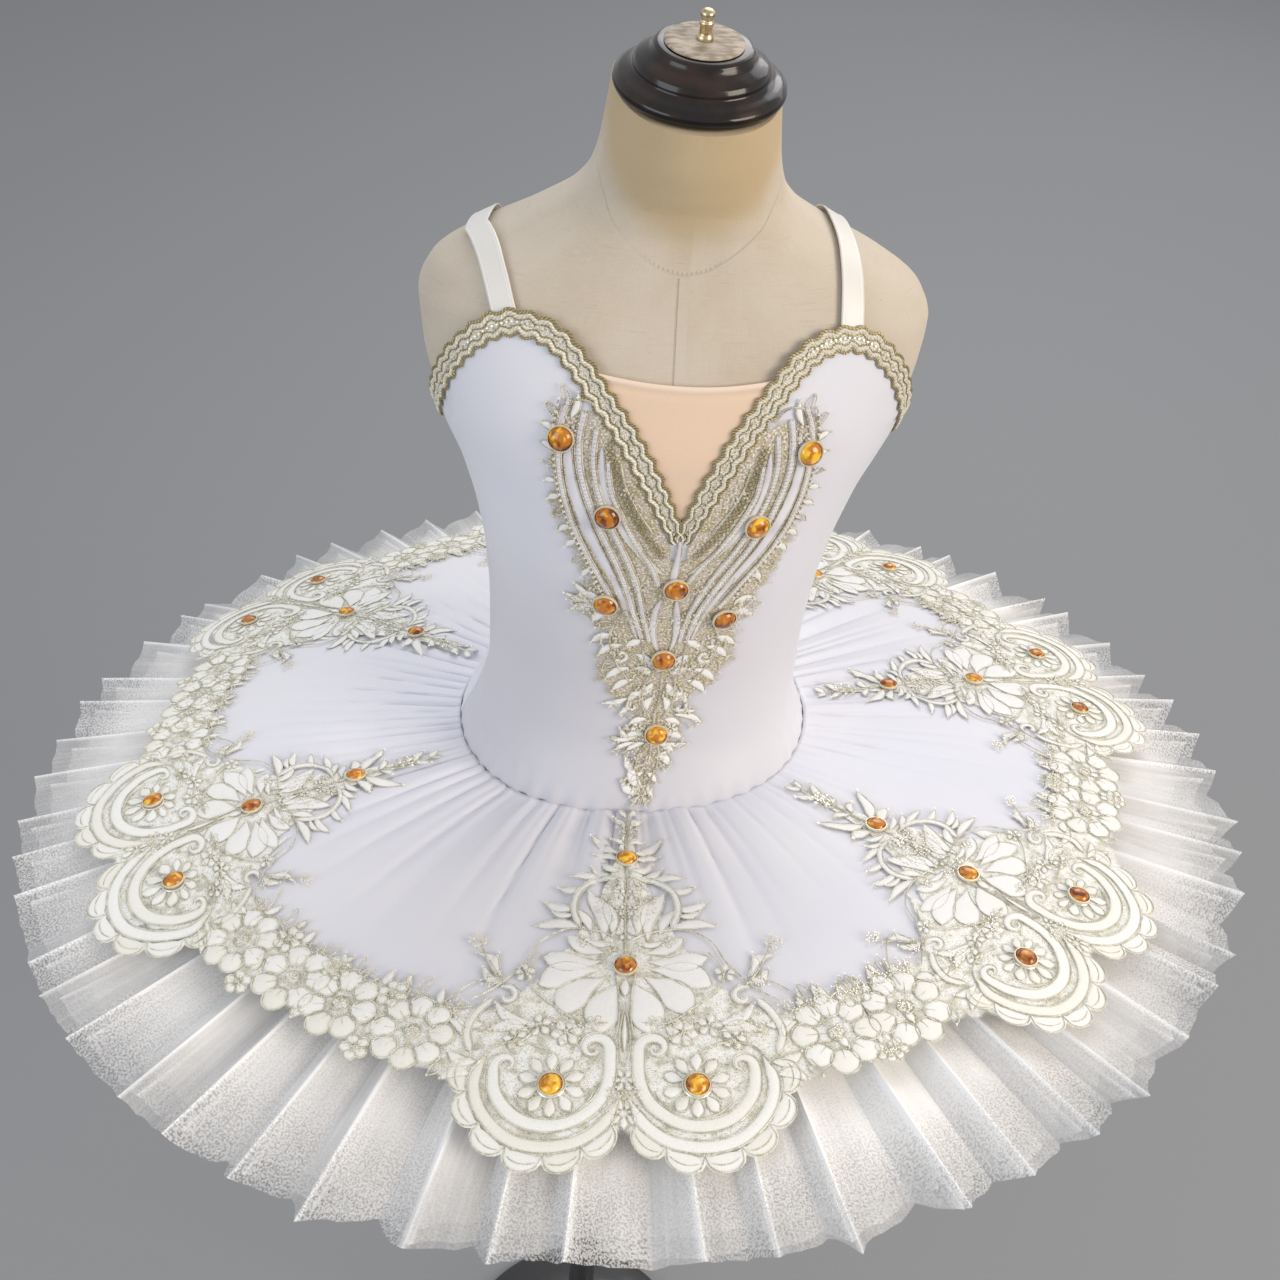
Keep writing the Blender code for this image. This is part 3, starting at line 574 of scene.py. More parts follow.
class Finish:
    """A material in the making: its Principled shader, and one method that adds any node."""

    def __init__(self, name, **fixed):
        self.material = bpy.data.materials.new(name)
        self.material.use_nodes = True
        self.tree = self.material.node_tree
        self.shader = self.tree.nodes["Principled BSDF"]
        self.set(**fixed)

    def set(self, **sockets):
        """Set or link the shader's sockets, named with _ for a space."""
        for name, term in sockets.items():
            connect(self.tree, self.shader.inputs[name.replace("_", " ")], term)

    def node(self, kind, settings=None, sockets=None, output=None):
        """Add a node of a type, apply its settings, then feed its sockets."""
        made = self.tree.nodes.new("ShaderNode" + kind)
        for name, value in (settings or {}).items():
            setattr(made, name, value)
        for name, term in (sockets or {}).items():
            socket = next(one for one in made.inputs if one.enabled and one.name == name)
            connect(self.tree, socket, term)
        found = next(one for one in made.outputs if one.enabled and output in (None, one.name))
        return Term(self.tree, found)

    def mix(self, share, low, high):
        """A colour between two, by a share from 0 to 1."""
        return self.node("Mix", {"data_type": "RGBA"}, {"Factor": share, "A": low, "B": high}, "Result")

    def uv(self):
        """The piece's UV map in metres, as two terms."""
        vector = self.node("UVMap", {"uv_map": "cloth"})
        across = self.node("SeparateXYZ", None, {"Vector": vector}, "X")
        return across, Term(self.tree, across.output.node.outputs["Y"])

    def place(self, x, y=None, z=None):
        """Object coordinates, scaled along each axis, or by one number along all."""
        scale = (x, x, x) if y is None else (x, y, z)
        vector = self.node("TexCoord", None, None, "Object")
        return self.node("Mapping", None, {"Vector": vector, "Scale": scale})

    def noise(self, vector, detail=3.0):
        """A noise value from 0 to 1 over a vector."""
        return self.node("TexNoise", None, {"Vector": vector, "Scale": 1.0, "Detail": detail}, "Fac")

    def grain(self, across, along, detail=3.0):
        """Noise over the UV map, so many times to the metre across it and along it."""
        u, v = self.uv()
        return self.noise(self.node("CombineXYZ", None, {"X": u * across, "Y": v * along}), detail)

    def twist(self, along, across):
        """Slanting ridges from 0 to 1 along the UV map, as of a twisted thread."""
        u, v = self.uv()
        return (v * along + u * across).wave() * 0.5 + 0.5

    def read(self, name):
        """A number kept on the piece."""
        return self.node("Attribute", {"attribute_name": name}, None, "Fac")

    def bump(self, height, strength, distance=0.0005):
        """Feed the shader's Normal from a height."""
        self.set(Normal=self.node("Bump", None, {"Height": height, "Strength": strength,
                                                "Distance": distance}, "Normal"))


# ---- finishes ----

FINISHES = {}


def finish(name, **fixed):
    """Turn a maker, which fills in a new Finish, into a function that gives the material, made
    the first time that it is asked for."""
    def keep(maker):
        def ask():
            if name not in FINISHES:
                made = Finish(name, **fixed)
                maker(made, bpy.context.scene.tutu_colours)
                FINISHES[name] = made.material
            return FINISHES[name]
        return ask
    return keep


@finish("linen", Roughness=0.88, Sheen_Weight=0.15)
def make_linen(made, colours):
    """Old linen, pulled over the form: a plain weave with slubs, faint blotches, stains and
    specks, a soft crease at the neck's seam, stitched at the front, and the seam below it."""
    u, _ = made.uv()
    weave = made.grain(120, 2200) + made.grain(2200, 120)
    slub = made.grain(40, 900, 1).step(0.62, 0.78)
    seam = made.read("neck_seam")
    fold = seam.size().step(0.0009, 0.0002)
    front = made.read("front_seam").size().step(0.0007, 0.0002)
    stitch = (seam - 0.0008).size().step(0.0009, 0.0004) * (u * 1500).wave().step(0.2, 0.7)
    stitch = stitch * ((u * 10).wave() + 0.05).size().step(0.42, 0.2)
    cloth = made.mix(made.grain(14, 14, 5).step(0.3, 0.72), colours.linen_shade, colours.linen)
    for share, colour in ((weave.step(0.75, 1.35) * 0.35, colours.linen_light),
                          (slub * 0.1, colours.linen_speck),
                          (made.grain(420, 420, 2).step(0.72, 0.8) * 0.35, colours.linen_speck),
                          # The linen above the neck's seam is yellower.
                          (seam.step(0.0, 0.03) * 0.75, colours.linen_aged),
                          (fold * 0.1 + front * 0.28, colours.linen_speck),
                          (stitch * 0.35, colours.linen_speck)):
        cloth = made.mix(share, cloth, colour)
    made.set(Base_Color=cloth)
    made.bump(weave * 0.4 + slub * 0.2 - front * 1.6 + seam.step(0.0006, -0.0006) * 1.8, 0.6)


@finish("black_wood", Coat_Weight=0.35, Coat_Roughness=0.05, Specular_IOR_Level=0.3)
def make_black_wood(made, colours):
    """Black lacquer on turned wood, with faint rings and handling marks in its gloss."""
    _, v = made.uv()
    smear = made.noise(made.place(60), detail=4)
    made.set(Base_Color=made.mix(smear.step(0.4, 0.7), colours.black_wood, colours.black_wood_worn),
             Roughness=smear.step(0.25, 0.8) * 0.2 + 0.12)
    made.bump(((v * 5200).wave() * 0.5 + 0.5) * 0.2 + smear, 0.12)


@finish("worn_wood", Roughness=0.62)
def make_worn_wood(made, colours):
    """A bare wood disc with end grain, scuffs and black paint left at its rim."""
    grain = made.noise(made.place(160, 420, 420), detail=6)
    wood = made.mix(grain.step(0.35, 0.65), colours.worn_wood_dark, colours.worn_wood)
    scuff = made.noise(made.place(70), detail=5).step(0.58, 0.7)
    made.set(Base_Color=made.mix(scuff * 0.6, wood, colours.worn_wood_light))
    made.bump(grain, 0.3)


@finish("brass", Metallic=1.0)
def make_brass(made, colours):
    """Handled brass, dull in uneven patches."""
    smear = made.noise(made.place(300), detail=4)
    made.set(Base_Color=made.mix(smear.step(0.4, 0.7), colours.brass, colours.brass_dark),
             Roughness=smear * 0.3 + 0.16)


@finish("black_iron", Coat_Weight=0.25)
def make_black_iron(made, colours):
    """Satin black paint on cast iron, with a slight orange peel."""
    peel = made.noise(made.place(260))
    made.set(Base_Color=colours.black_iron, Roughness=peel * 0.18 + 0.26)
    made.bump(peel, 0.15)


@finish("white_stretch_cloth", Roughness=0.5, Sheen_Weight=0.35, Sheen_Roughness=0.4,
        Specular_IOR_Level=0.35)
def make_white_cloth(made, colours):
    """Smooth stretch satin: fine knitted ribs, a soft sheen, a faint cool blush, and greyer
    where the piece's own number asks for it: a painted shade towards the bodice's waist."""
    u, v = made.uv()
    rib = (u * 6300).wave() * 0.5 + (v * 9000).wave() * 0.25
    blush = made.noise(made.place(9), detail=2).step(0.3, 0.7)
    colour = made.mix(blush, colours.cloth_shade, colours.cloth)
    # Painted shade: the piece's own number greys the cloth towards the bodice's waist.
    made.set(Base_Color=made.mix(made.read("painted_shade_and_tone"), colour, colours.cloth_worn))
    made.bump(rib * 0.2 + made.grain(700, 1500, 2), 0.06)


@finish("skin_net", Roughness=0.62, Sheen_Weight=0.3)
def make_skin_net(made, colours):
    """Skin-coloured stretch net, two layers thick and paler at its rolled edge."""
    knit = made.grain(1400, 900, 2)
    colour = made.mix(made.read("rolled_edge"), colours.skin_net, colours.skin_net_edge)
    made.set(Base_Color=made.mix(knit.step(0.3, 0.7) * 0.25, colour, colours.skin_net_edge))
    made.bump(knit, 0.12)


@finish("white_elastic", Roughness=0.34, Sheen_Weight=0.2)
def make_white_elastic(made, colours):
    """Satin elastic: fine ribs across, and a bright welt along both edges."""
    u, v = made.uv()
    rib = (v * 7000).wave() * 0.5 + 0.5
    welt = (u.size() - 0.0047).size().step(0.0007, 0.0002)
    made.set(Base_Color=made.mix(welt * 0.5 + rib * 0.08, colours.elastic, colours.elastic_edge))
    made.bump(rib * 0.25 - welt, 0.35)


@finish("white_net", Roughness=0.7, Sheen_Weight=0.25)
def make_white_net(made, colours):
    """Stiff net: small uneven holes that show most near the hem, faint radial streaks, denser
    towards the hip, a little different from panel to panel, and folded white along the ridges.
    v is the distance from the hip's middle and u the distance along the hem."""
    _, v = made.uv()
    streak = made.grain(520, 16, 2).step(0.4, 0.66)
    patch = made.grain(40, 26).step(0.35, 0.7)
    panel, crease = made.read("panel"), made.read("crease")
    holes = made.grain(850, 850, 1).step(0.44, 0.6) * (v.step(0.318, 0.348) * 0.7 + 0.3)
    holes = holes * (panel.step(0.25, 0.7) * 0.8 + 0.2)
    # Denser towards the hip, where the layers gather, and raised so that the net under the lace's edge stays
    # white over the shaded layers beneath: partly painted light.
    cover = (v.step(0.364, 0.322) * 0.4 + 0.19 + streak * 0.08 + panel * 0.22 + patch * 0.14 - holes * 0.44
             + crease.step(0.4, 1.0) * 0.42)
    made.set(Base_Color=made.mix(crease, colours.net, colours.net_crease), Alpha=cover.most(0.04).least(1.0))
    made.bump(streak * 0.5 - holes * 0.4, 0.3)


@finish("satin_stitch", Roughness=0.45, Sheen_Weight=0.3, Specular_IOR_Level=0.4)
def make_satin(made, colours):
    """Satin stitch: fine threads laid across each shape, with a thread's sheen. It is cream at
    the skirt's rim and a cooler white towards the hip."""
    _, v = made.uv()
    threads = (v * 9000).wave() * 0.5 + 0.5
    fuzz = made.grain(300, 2600, 2)
    speck = made.grain(1100, 1100, 2).step(0.56, 0.68)
    colour = made.mix(made.read("tone").step(0.2, 0.8), colours.satin, colours.satin_light)
    reach = made.node("VectorMath", {"operation": "LENGTH"}, {"Vector": made.place(1, 1, 0)}, "Value")
    colour = made.mix(reach.step(0.3, 0.235) * 0.75, colour, colours.satin_cool)
    # Darker between the threads, a painted shade of the gaps, with fuzz and specks of the thread's own tone.
    painted_shade_and_tone = (1.0 - threads) * 0.14 + fuzz.step(0.35, 0.75) * 0.18 + speck * 0.34
    made.set(Base_Color=made.mix(painted_shade_and_tone, colour, colours.satin_shade))
    made.bump(threads + fuzz + speck, 0.3, 0.0002)


def glinting(made, hollow, thread, glint):
    """A twisted outline cord, glinting here and there."""
    twist = made.twist(5200, 3600)
    spot = made.noise(made.place(700), detail=1)
    painted_shade_and_tone = made.noise(made.place(120), detail=2).step(0.42, 0.62)
    colour = made.mix(painted_shade_and_tone * 0.6, made.mix(twist, hollow, thread), glint)
    made.set(Base_Color=made.mix(spot.step(0.5, 0.62) * 0.6, colour, glint),
             Metallic=spot.step(0.55, 0.65) * 0.2)
    made.bump(twist, 0.4, 0.0002)


@finish("outline_cord", Roughness=0.45)
def make_cord(made, colours):
    """Sage and silver cord of the skirt's lace."""
    glinting(made, colours.cord_shade, colours.cord, colours.cord_light)


@finish("warm_cord", Roughness=0.45)
def make_warm_cord(made, colours):
    """Beige and gold cord of the bodice's lace."""
    glinting(made, colours.gold_shade, colours.warm_cord, colours.cord_light)


@finish("beads", Roughness=0.25, Metallic=0.3, Coat_Weight=0.4)
def make_bead(made, colours):
    """Pale gold and silver beads and sequins."""
    made.set(Base_Color=made.mix(made.read("tone"), colours.bead, colours.bead_light))


# Emission: the stones glow faintly in their own colour, a painted glow.
@finish("amber_stone", Roughness=0.05, Coat_Weight=0.6, Coat_Roughness=0.02, Emission_Strength=0.06)
def make_amber(made, colours):
    """Amber glass: facets from dark orange to yellow at random, a painted reflection and shade, and a faint
    painted glow.
    """
    cloud = made.noise(made.place(210), detail=1)
    # Random facet tones from dark to bright stand in for reflection and shade inside the stone: painted
    # reflection and shade.
    depth = made.read("tone") * 0.85 + cloud.step(0.3, 0.7) * 0.2
    deep = made.mix(depth.step(0.25, 0.48), colours.amber_dark, colours.amber)
    colour = made.mix(depth.step(0.56, 0.8), deep, colours.amber_light)
    made.set(Base_Color=colour, Emission_Color=colour)


@finish("lace_net", Roughness=0.6, Sheen_Weight=0.2)
def make_lace_net(made, colours):
    """The lace's ground: fine net, thickly worked with white and cream stitches, with sage ones
    among them, that thin out towards its ragged edge."""
    stitch, cloud = made.grain(900, 900, 2), made.grain(130, 130, 2)
    inside = (made.read("edge") + cloud * 0.01).step(0.0045, 0.01)
    worked = stitch.step(0.34, 0.46) * 0.5 + cloud.step(0.3, 0.55) * 0.35
    colour = made.mix(cloud.step(0.35, 0.6), colours.satin_shade, colours.satin_light)
    colour = made.mix(stitch.step(0.52, 0.64) * 0.7, colour, colours.cord)
    made.set(Base_Color=colour, Alpha=((worked + 0.22) * inside).least(1.0))
    made.bump(stitch, 0.4)


@finish("bodice_net", Roughness=0.45, Sheen_Weight=0.2)
def make_bodice_net(made, colours):
    """The bodice lace's ground: silver and gold stitches on net, dense between the plumes."""
    stitch, cloud = made.grain(900, 900, 2), made.grain(130, 130, 2)
    inside = (made.read("edge") + cloud * 0.02).step(0.011, 0.02)
    gold = made.mix(cloud.step(0.45, 0.65), colours.net_stitch, colours.gold_thread)
    made.set(Base_Color=made.mix(stitch.step(0.52, 0.64), gold, colours.bead_light),
             Metallic=stitch.step(0.58, 0.7) * 0.2,
             Alpha=((stitch.step(0.32, 0.44) * 0.7 + 0.22) * inside).least(1.0))
    made.bump(stitch, 0.5)


@finish("sequin_net", Roughness=0.4, Coat_Weight=0.1)
def make_sequin_net(made, colours):
    """The middle of the trim: silver sequins and clear net with gold glints."""
    u, v = made.uv()
    scales = ((u * 2600).wave() * (v * 2600).wave()).size()
    knit = made.grain(800, 800, 2)
    colour = made.mix(knit.step(0.52, 0.62), colours.braid, colours.gold_thread)
    made.set(Base_Color=made.mix(scales.step(0.5, 0.9) * 0.35, colour, colours.elastic_edge),
             Alpha=knit.step(0.32, 0.4) * 0.4 + 0.6)
    made.bump(scales + knit, 0.8)


def twisted(made, along, across, hollow, thread):
    """A plainly twisted thread."""
    twist = made.twist(along, across)
    made.set(Base_Color=made.mix(twist, hollow, thread))
    made.bump(twist, 0.6, 0.0003)


@finish("cream_braid", Roughness=0.5, Sheen_Weight=0.3)
def make_braid(made, colours):
    """Thick cream braid."""
    twisted(made, 3600, 2500, colours.braid_shade, colours.braid)


@finish("gold_thread", Roughness=0.38, Metallic=0.45)
def make_gold(made, colours):
    """Gold-green metal thread."""
    twisted(made, 4200, 3000, colours.gold_shade, colours.gold_thread)


@finish("sheer_strip", Roughness=0.45, Sheen_Weight=0.4)
def make_sheer(made, colours):
    """Sheer white organza strip, cool where it lies in shade."""
    cloud = made.grain(60, 40, 2).step(0.35, 0.65)
    made.set(Base_Color=made.mix(cloud, colours.sheer_shade, colours.sheer))
    made.bump(made.grain(900, 200, 2), 0.2)


@finish("studio_floor", Roughness=0.95, Specular_IOR_Level=0.1)
def make_floor(made, colours):
    """Plain matt floor."""
    made.set(Base_Color=colours.floor)


# ---- the form and its stand ----

NECK_SEAM = table(
    "angle height",
    (0, 0.317), (12, 0.3195), (20, 0.3236), (30, 0.33), (40, 0.337),
    (52, 0.3465), (64, 0.352), (90, 0.356), (130, 0.358), (180, 0.359),
)
NECK_SEAM_TURN = 3.5
FRONT_SEAM = -0.0055
FORM_COLUMNS = 144
FORM_BANDS = (-0.15, -0.14, -0.1, 0.28, 0.35, 0.391)  # heights between which its rows are even
FORM_ROWS = (8, 10, 72, 58, 22)


def build_form():
    """The torso and neck: a full turn of form_point at each height, closed at both ends. It
    keeps each point's distance from the neck seam and from the front seam below it."""
    angles = np.arange(FORM_COLUMNS) * 360 / FORM_COLUMNS
    heights = np.concatenate([np.linspace(low, high, count, endpoint=False) for low, high, count in
                              zip(FORM_BANDS, FORM_BANDS[1:], FORM_ROWS)] + [FORM_BANDS[-1:]])[:, None]
    lean = smooth(TORSO, "lean", heights)
    points = form_point(angles[None, :], heights, lean)
    seam = heights - smooth(NECK_SEAM, "height", folded(angles + NECK_SEAM_TURN), key="angle")[None, :]
    below = np.where(seam < 0, 0.0, 1.0)
    front = np.where(points[..., 1] < 0, points[..., 0] - FRONT_SEAM, 1.0) + below
    soft = 0.00035 * ripple(4, points[..., 0] * 40, points[..., 2] * 40)
    points = points + soft[..., None] * np.concatenate([unit(points[..., :2]), 0 * points[..., 2:]], -1)
    work = Patchwork()
    work.patch(points, panel_uv(angles, heights), turn=2 * math.pi * FORM_RADIUS, ends=True)
    piece = work.piece("linen_form", [make_linen()])
    note(piece, "neck_seam", seam)
    note(piece, "front_seam", front)
    return stands_for(piece, "linen", "torso_form")


def neck_top():
    """The place of the neck's slanted top: its middle, with Z along the neck."""
    middle_y = (TORSO["back"][-1] - TORSO["front"][-1]) / 2
    lean = math.radians(CAP_LEAN)
    height = HIP_HEIGHT + TORSO["height"][-1] + middle_y * math.tan(lean)
    return Matrix.Translation((0.0, middle_y, height)) @ Matrix.Rotation(lean, 4, "X")


def build_cap():
    """The turned black cap, the worn disc let into it and the brass finial."""
    top = neck_top()
    heights = (CAP_PROFILE[0][1], DISC_PROFILE[0][1])
    lifts = (TOUCH, TOUCH * 2 + heights[0], TOUCH * 3 + heights[0] + heights[1])
    places = [top @ Matrix.Translation((0, 0, lift)) for lift in lifts]
    cap = turned("turned_cap", CAP_PROFILE, make_black_wood(), places[0])
    stands_for(cap, "black_wood", "neck_cap")
    disc = turned("worn_disc", DISC_PROFILE, make_worn_wood(), places[1])
    stands_for(disc, "worn_wood", "cap_disc")
    finial = turned("brass_finial", FINIAL_PROFILE, make_brass(), places[2], steps=48)
    stands_for(finial, "brass", "cap_finial")


def build_stand():
    """The domed base on the floor, the pole and the collar under the form."""
    iron = make_black_iron()
    collar_bottom = HIP_HEIGHT + TORSO["height"][0] - TOUCH - COLLAR_HEIGHT
    foot = HUB_HEIGHT + TOUCH
    length = collar_bottom - TOUCH - foot
    pole = ((0.0, length), (POLE_RADIUS, length), (POLE_RADIUS, 0.0), (0.0, 0.0))
    stands_for(turned("domed_base", BASE_PROFILE, iron), "black_iron", "stand_base")
    collar = turned("collar", COLLAR_PROFILE, iron, Matrix.Translation((0, 0, collar_bottom)))
    stands_for(collar, "black_iron", "pole_collar")
    stands_for(turned("pole", pole, iron, Matrix.Translation((0, 0, foot))), "black_iron", "stand_pole")


# ---- the bodice ----

CLOTH_GAP = FORM_GAP + 0.0004
THIN_CLOTH = 0.0006                   # thickness of the insert and the brief
ELASTIC = 0.0007                      # thickness of the straps
SIDE_SEAM = 89.9
PANEL_ROWS = 70

# Soft troughs in the bodice: both ends by angle and height, then half width and depth.
BODICE_CREASES = table(
    "angle_a height_a angle_b height_b width depth",
    (-74, 0.242, -58, 0.24, 0.0028, 0.0007), (-72, 0.235, -60, 0.23, 0.003, 0.0006),
    (-70, 0.25, -62, 0.249, 0.0022, 0.0005), (72, 0.242, 60, 0.239, 0.0028, 0.0006),
    (66, 0.26, 60, 0.256, 0.0024, 0.0005), (62, 0.03, 40, 0.042, 0.006, 0.0006),
    (-70, 0.026, -44, 0.034, 0.006, 0.0006), (75, 0.05, 58, 0.066, 0.007, 0.0006),
)


def neck_turn(angle):
    """Turn the point of the V a little to the right, fading out at the peaks."""
    share = np.clip(1 - np.abs(angle) / STRAP_ANGLE, 0, 1)
    return angle + NECK_SHIFT * share**2


def neckline_height(angle):
    """Height of the bodice's top edge, the same on both sides."""
    return smooth(NECKLINE, "height", folded(angle), key="angle")


def creased(angle, height):
    """Depth of the creases: each is a soft, uneven trough along a line between two points of
    the panel, deepest at its first end and gone at its second."""
    depth = np.zeros(np.broadcast(angle, height).shape)
    place = panel_uv(angle, height)
    for angle_a, height_a, angle_b, height_b, width, deep in zip(*BODICE_CREASES.values()):
        start = panel_uv(angle_a, height_a)
        way = panel_uv(angle_b, height_b) - start
        length = np.linalg.norm(way)
        along = (place - start) @ (way / length)
        off = (place - start) @ (way[::-1] * (1, -1) / length) + 0.001 * np.sin(along * 160)
        shape = np.exp(-(off / width)**2) - 0.6 * np.exp(-((off - 1.9 * width) / width)**2)
        depth += deep * shape * fade(along, -0.004, 0.003) * (1 - fade(along, 0.3 * length, length))
    return depth


FLARE_TOP = 0.04                      # above the skirt's plane, as the next one is
FLARE_UNDER = (-0.006, 0.003)


def hip_flare(angle, height):
    """How far the bodice stands out at the front where it meets the skirt: nothing 40 mm above
    the plate, the full flare at the plate and nothing again under it, with a gently wavy edge."""
    lift = (form_point(angle, height) - SKIRT_CENTRE) @ SKIRT_UP
    turn = np.radians(angle)
    wave = 0.0006 * np.sin(turn * 58 + np.sin(turn * 7)) * fade(lift, 0.013, DOME_TOP)
    under = fade(lift, *FLARE_UNDER)
    shape = fade(lift, FLARE_TOP, DOME_TOP)**1.6 * under
    return (HIP_FLARE * shape + wave * under) * (1 - fade(folded(angle), 22, 82))


def build_bodice():
    """Front and back panels: the form's own surface, moved out by the cloth's gap, from under
    the skirt's plane to the neckline, with creases at the arms and over the hip."""
    cloth = make_white_cloth()
    thickness = bpy.context.scene.tutu_sizes.cloth
    front = np.sort(np.concatenate([np.linspace(-SIDE_SEAM, SIDE_SEAM, 145), [-STRAP_ANGLE, STRAP_ANGLE]]))
    back = 180 + np.linspace(-SIDE_SEAM, SIDE_SEAM, 73)
    panels = (("bodice_front_cloth", "bodice_front", front, neck_turn(front), (0.4, 0.3)),
              ("bodice_back_cloth", "bodice_back", back, back, (0.42, 0.245)))
    for name, node, angles, turn, flat in panels:
        bottom = hip_height(turn, BODICE_DROP)
        share = rows_of(PANEL_ROWS)
        heights = between(bottom, neckline_height(angles), share)
        wave = 0.00018 * ripple(11, turn * 0.11, heights * 60) * fade(share, 0.0, 0.2)
        hem = 0.0004 * np.sin(np.radians(turn * 46)) * (1 - fade(share, 0.0, 0.12))
        gap = CLOTH_GAP + wave + hem - creased(turn, heights) + hip_flare(turn, heights)
        points = on_form(form_point(turn, heights), gap)
        piece = sheet_of(name, points, panel_uv(turn, heights), cloth, thickness=thickness)
        # Painted shade: the cloth is greyed towards the waist's front, less on the right, fading out round
        # the sides.
        low = fade(heights, 0.2, 0.09) * (1 - 0.45 * fade(turn, 5, 60)) * (1 - fade(np.abs(turn), 100, 140))
        note(piece, "painted_shade_and_tone", low)
        stands_for(piece, "white_stretch_cloth", node)
        flat[0] * flat[1] * 0.62


def build_insert():
    """The insert in the V, with a rolled bead along its top edge."""
    angles = np.linspace(-INSERT_REACH, INSERT_REACH, 61)
    bottom = neckline_height(angles) + 2 * SEAM
    top = INSERT_EDGE + INSERT_RISE * (angles / INSERT_REACH)**2
    heights = between(bottom, top, 1 - (1 - rows_of(40))**1.6)
    below = top - heights
    bead = 0.0006 * np.exp(-((below - 0.0011) / 0.001)**2)
    dip = -0.0003 * np.exp(-((below - 0.0042) / 0.0014)**2)
    turn = neck_turn(angles)
    points = on_form(form_point(turn, heights), CLOTH_GAP + bead + dip)
    piece = sheet_of("insert_net", points, panel_uv(turn, heights), make_skin_net(), thickness=THIN_CLOTH)
    note(piece, "rolled_edge", 1 - fade(below, 0.0012, 0.003))
    stands_for(piece, "skin_net", "neckline_insert")


def slice_point(across, turn):
    """The form's surface in the upright slice at `across`, turned up from the chest's front."""
    def at(reach):
        return stacked(across, -reach * np.cos(turn), HIP_HEIGHT + CHEST_CENTRE + reach * np.sin(turn))

    return at(halved(0 * turn, 0 * turn + 0.15, lambda reach: form_level(at(reach)) < 0))


def build_straps():
    """Each strap follows its slice of the form from the neckline's peak over the shoulder to
    the back, as a flat band with thicker edges."""
    for row, side in enumerate(("left", "right")):
        ends = [STRAPS[key][row] for key in ("front", "top", "back")]
        turn = np.linspace(0, math.pi + 0.6, 400)
        points = slice_point(np.interp(turn, (0.6, math.pi / 2, math.pi + 0.5), ends), turn)
        height = points[:, 2] - HIP_HEIGHT
        kept = np.where(turn < math.pi / 2, height > STRAP_FRONT_HEIGHT - 0.004,
                        height > STRAP_BACK_HEIGHT - 0.004)
        path, along = resample(points[kept], 72)
        across = unit(np.cross(form_slope(path), np.gradient(path, axis=0)))
        offset = np.linspace(-0.5, 0.5, 13) * STRAP_WIDTH
        edge = 0.00025 * np.exp(-((np.abs(offset) - 0.0052) / 0.0005)**2)
        grid = path[:, None] + across[:, None] * offset[:, None]
        grid = on_form(grid, FORM_GAP + 0.0002 + edge)
        uv = stacked(offset, along[:, None])
        piece = sheet_of(f"{side}_shoulder_strap", grid[:, ::-1], uv[:, ::-1], make_white_elastic(),
                         thickness=ELASTIC)
        stands_for(piece, "white_elastic", f"strap_{side}")


# ---- the brief and the skirt ----

def build_brief():
    """Front and back of the brief: the form's surface moved out, down to the leg openings."""
    for name, middle in (("front", 0), ("back", 180)):
        angles = middle + np.linspace(-89.7, 89.7, 61)
        top = hip_height(angles, BODICE_DROP - SEAM)
        bottom = smooth(LEG_LINE, "height", folded(angles), key="angle")
        heights = between(bottom, top, rows_of(27))
        bead = 0.0004 * np.exp(-((heights - bottom - 0.0025) / 0.0018)**2)
        gap = FORM_GAP + 0.0003 + bead + 0.0002 * ripple(21, angles * 0.12, heights * 70)
        points = on_form(form_point(angles, heights), gap)
        piece = sheet_of(f"brief_{name}_cloth", points, panel_uv(angles, heights), make_white_cloth(),
                         thickness=THIN_CLOTH)
        stands_for(piece, "white_stretch_cloth", f"brief_{name}")


LONG_STEPS = 7                        # columns along a pleat's long side
SHORT_STEPS = 3
NET_ROWS = 21


def pleat_stations():
    """Angle of each ridge and valley, in turn, and how tall each one is."""
    count = np.arange(PLEATS)
    around = 2 * math.pi * count / PLEATS
    width = 1 + 0.22 * np.sin(17 * around) + 0.15 * np.sin(23 * around + 1.0)
    start = np.concatenate([[0.0], np.cumsum(width)])
    start = start * 360 / start[-1]
    valley = start[:-1] + np.diff(start) * PLEAT_LONG_SIDE
    tall = 1 + 0.2 * np.sin(11 * around + 0.4) + 0.12 * np.sin(19 * around)
    return start - 180, valley - 180, tall


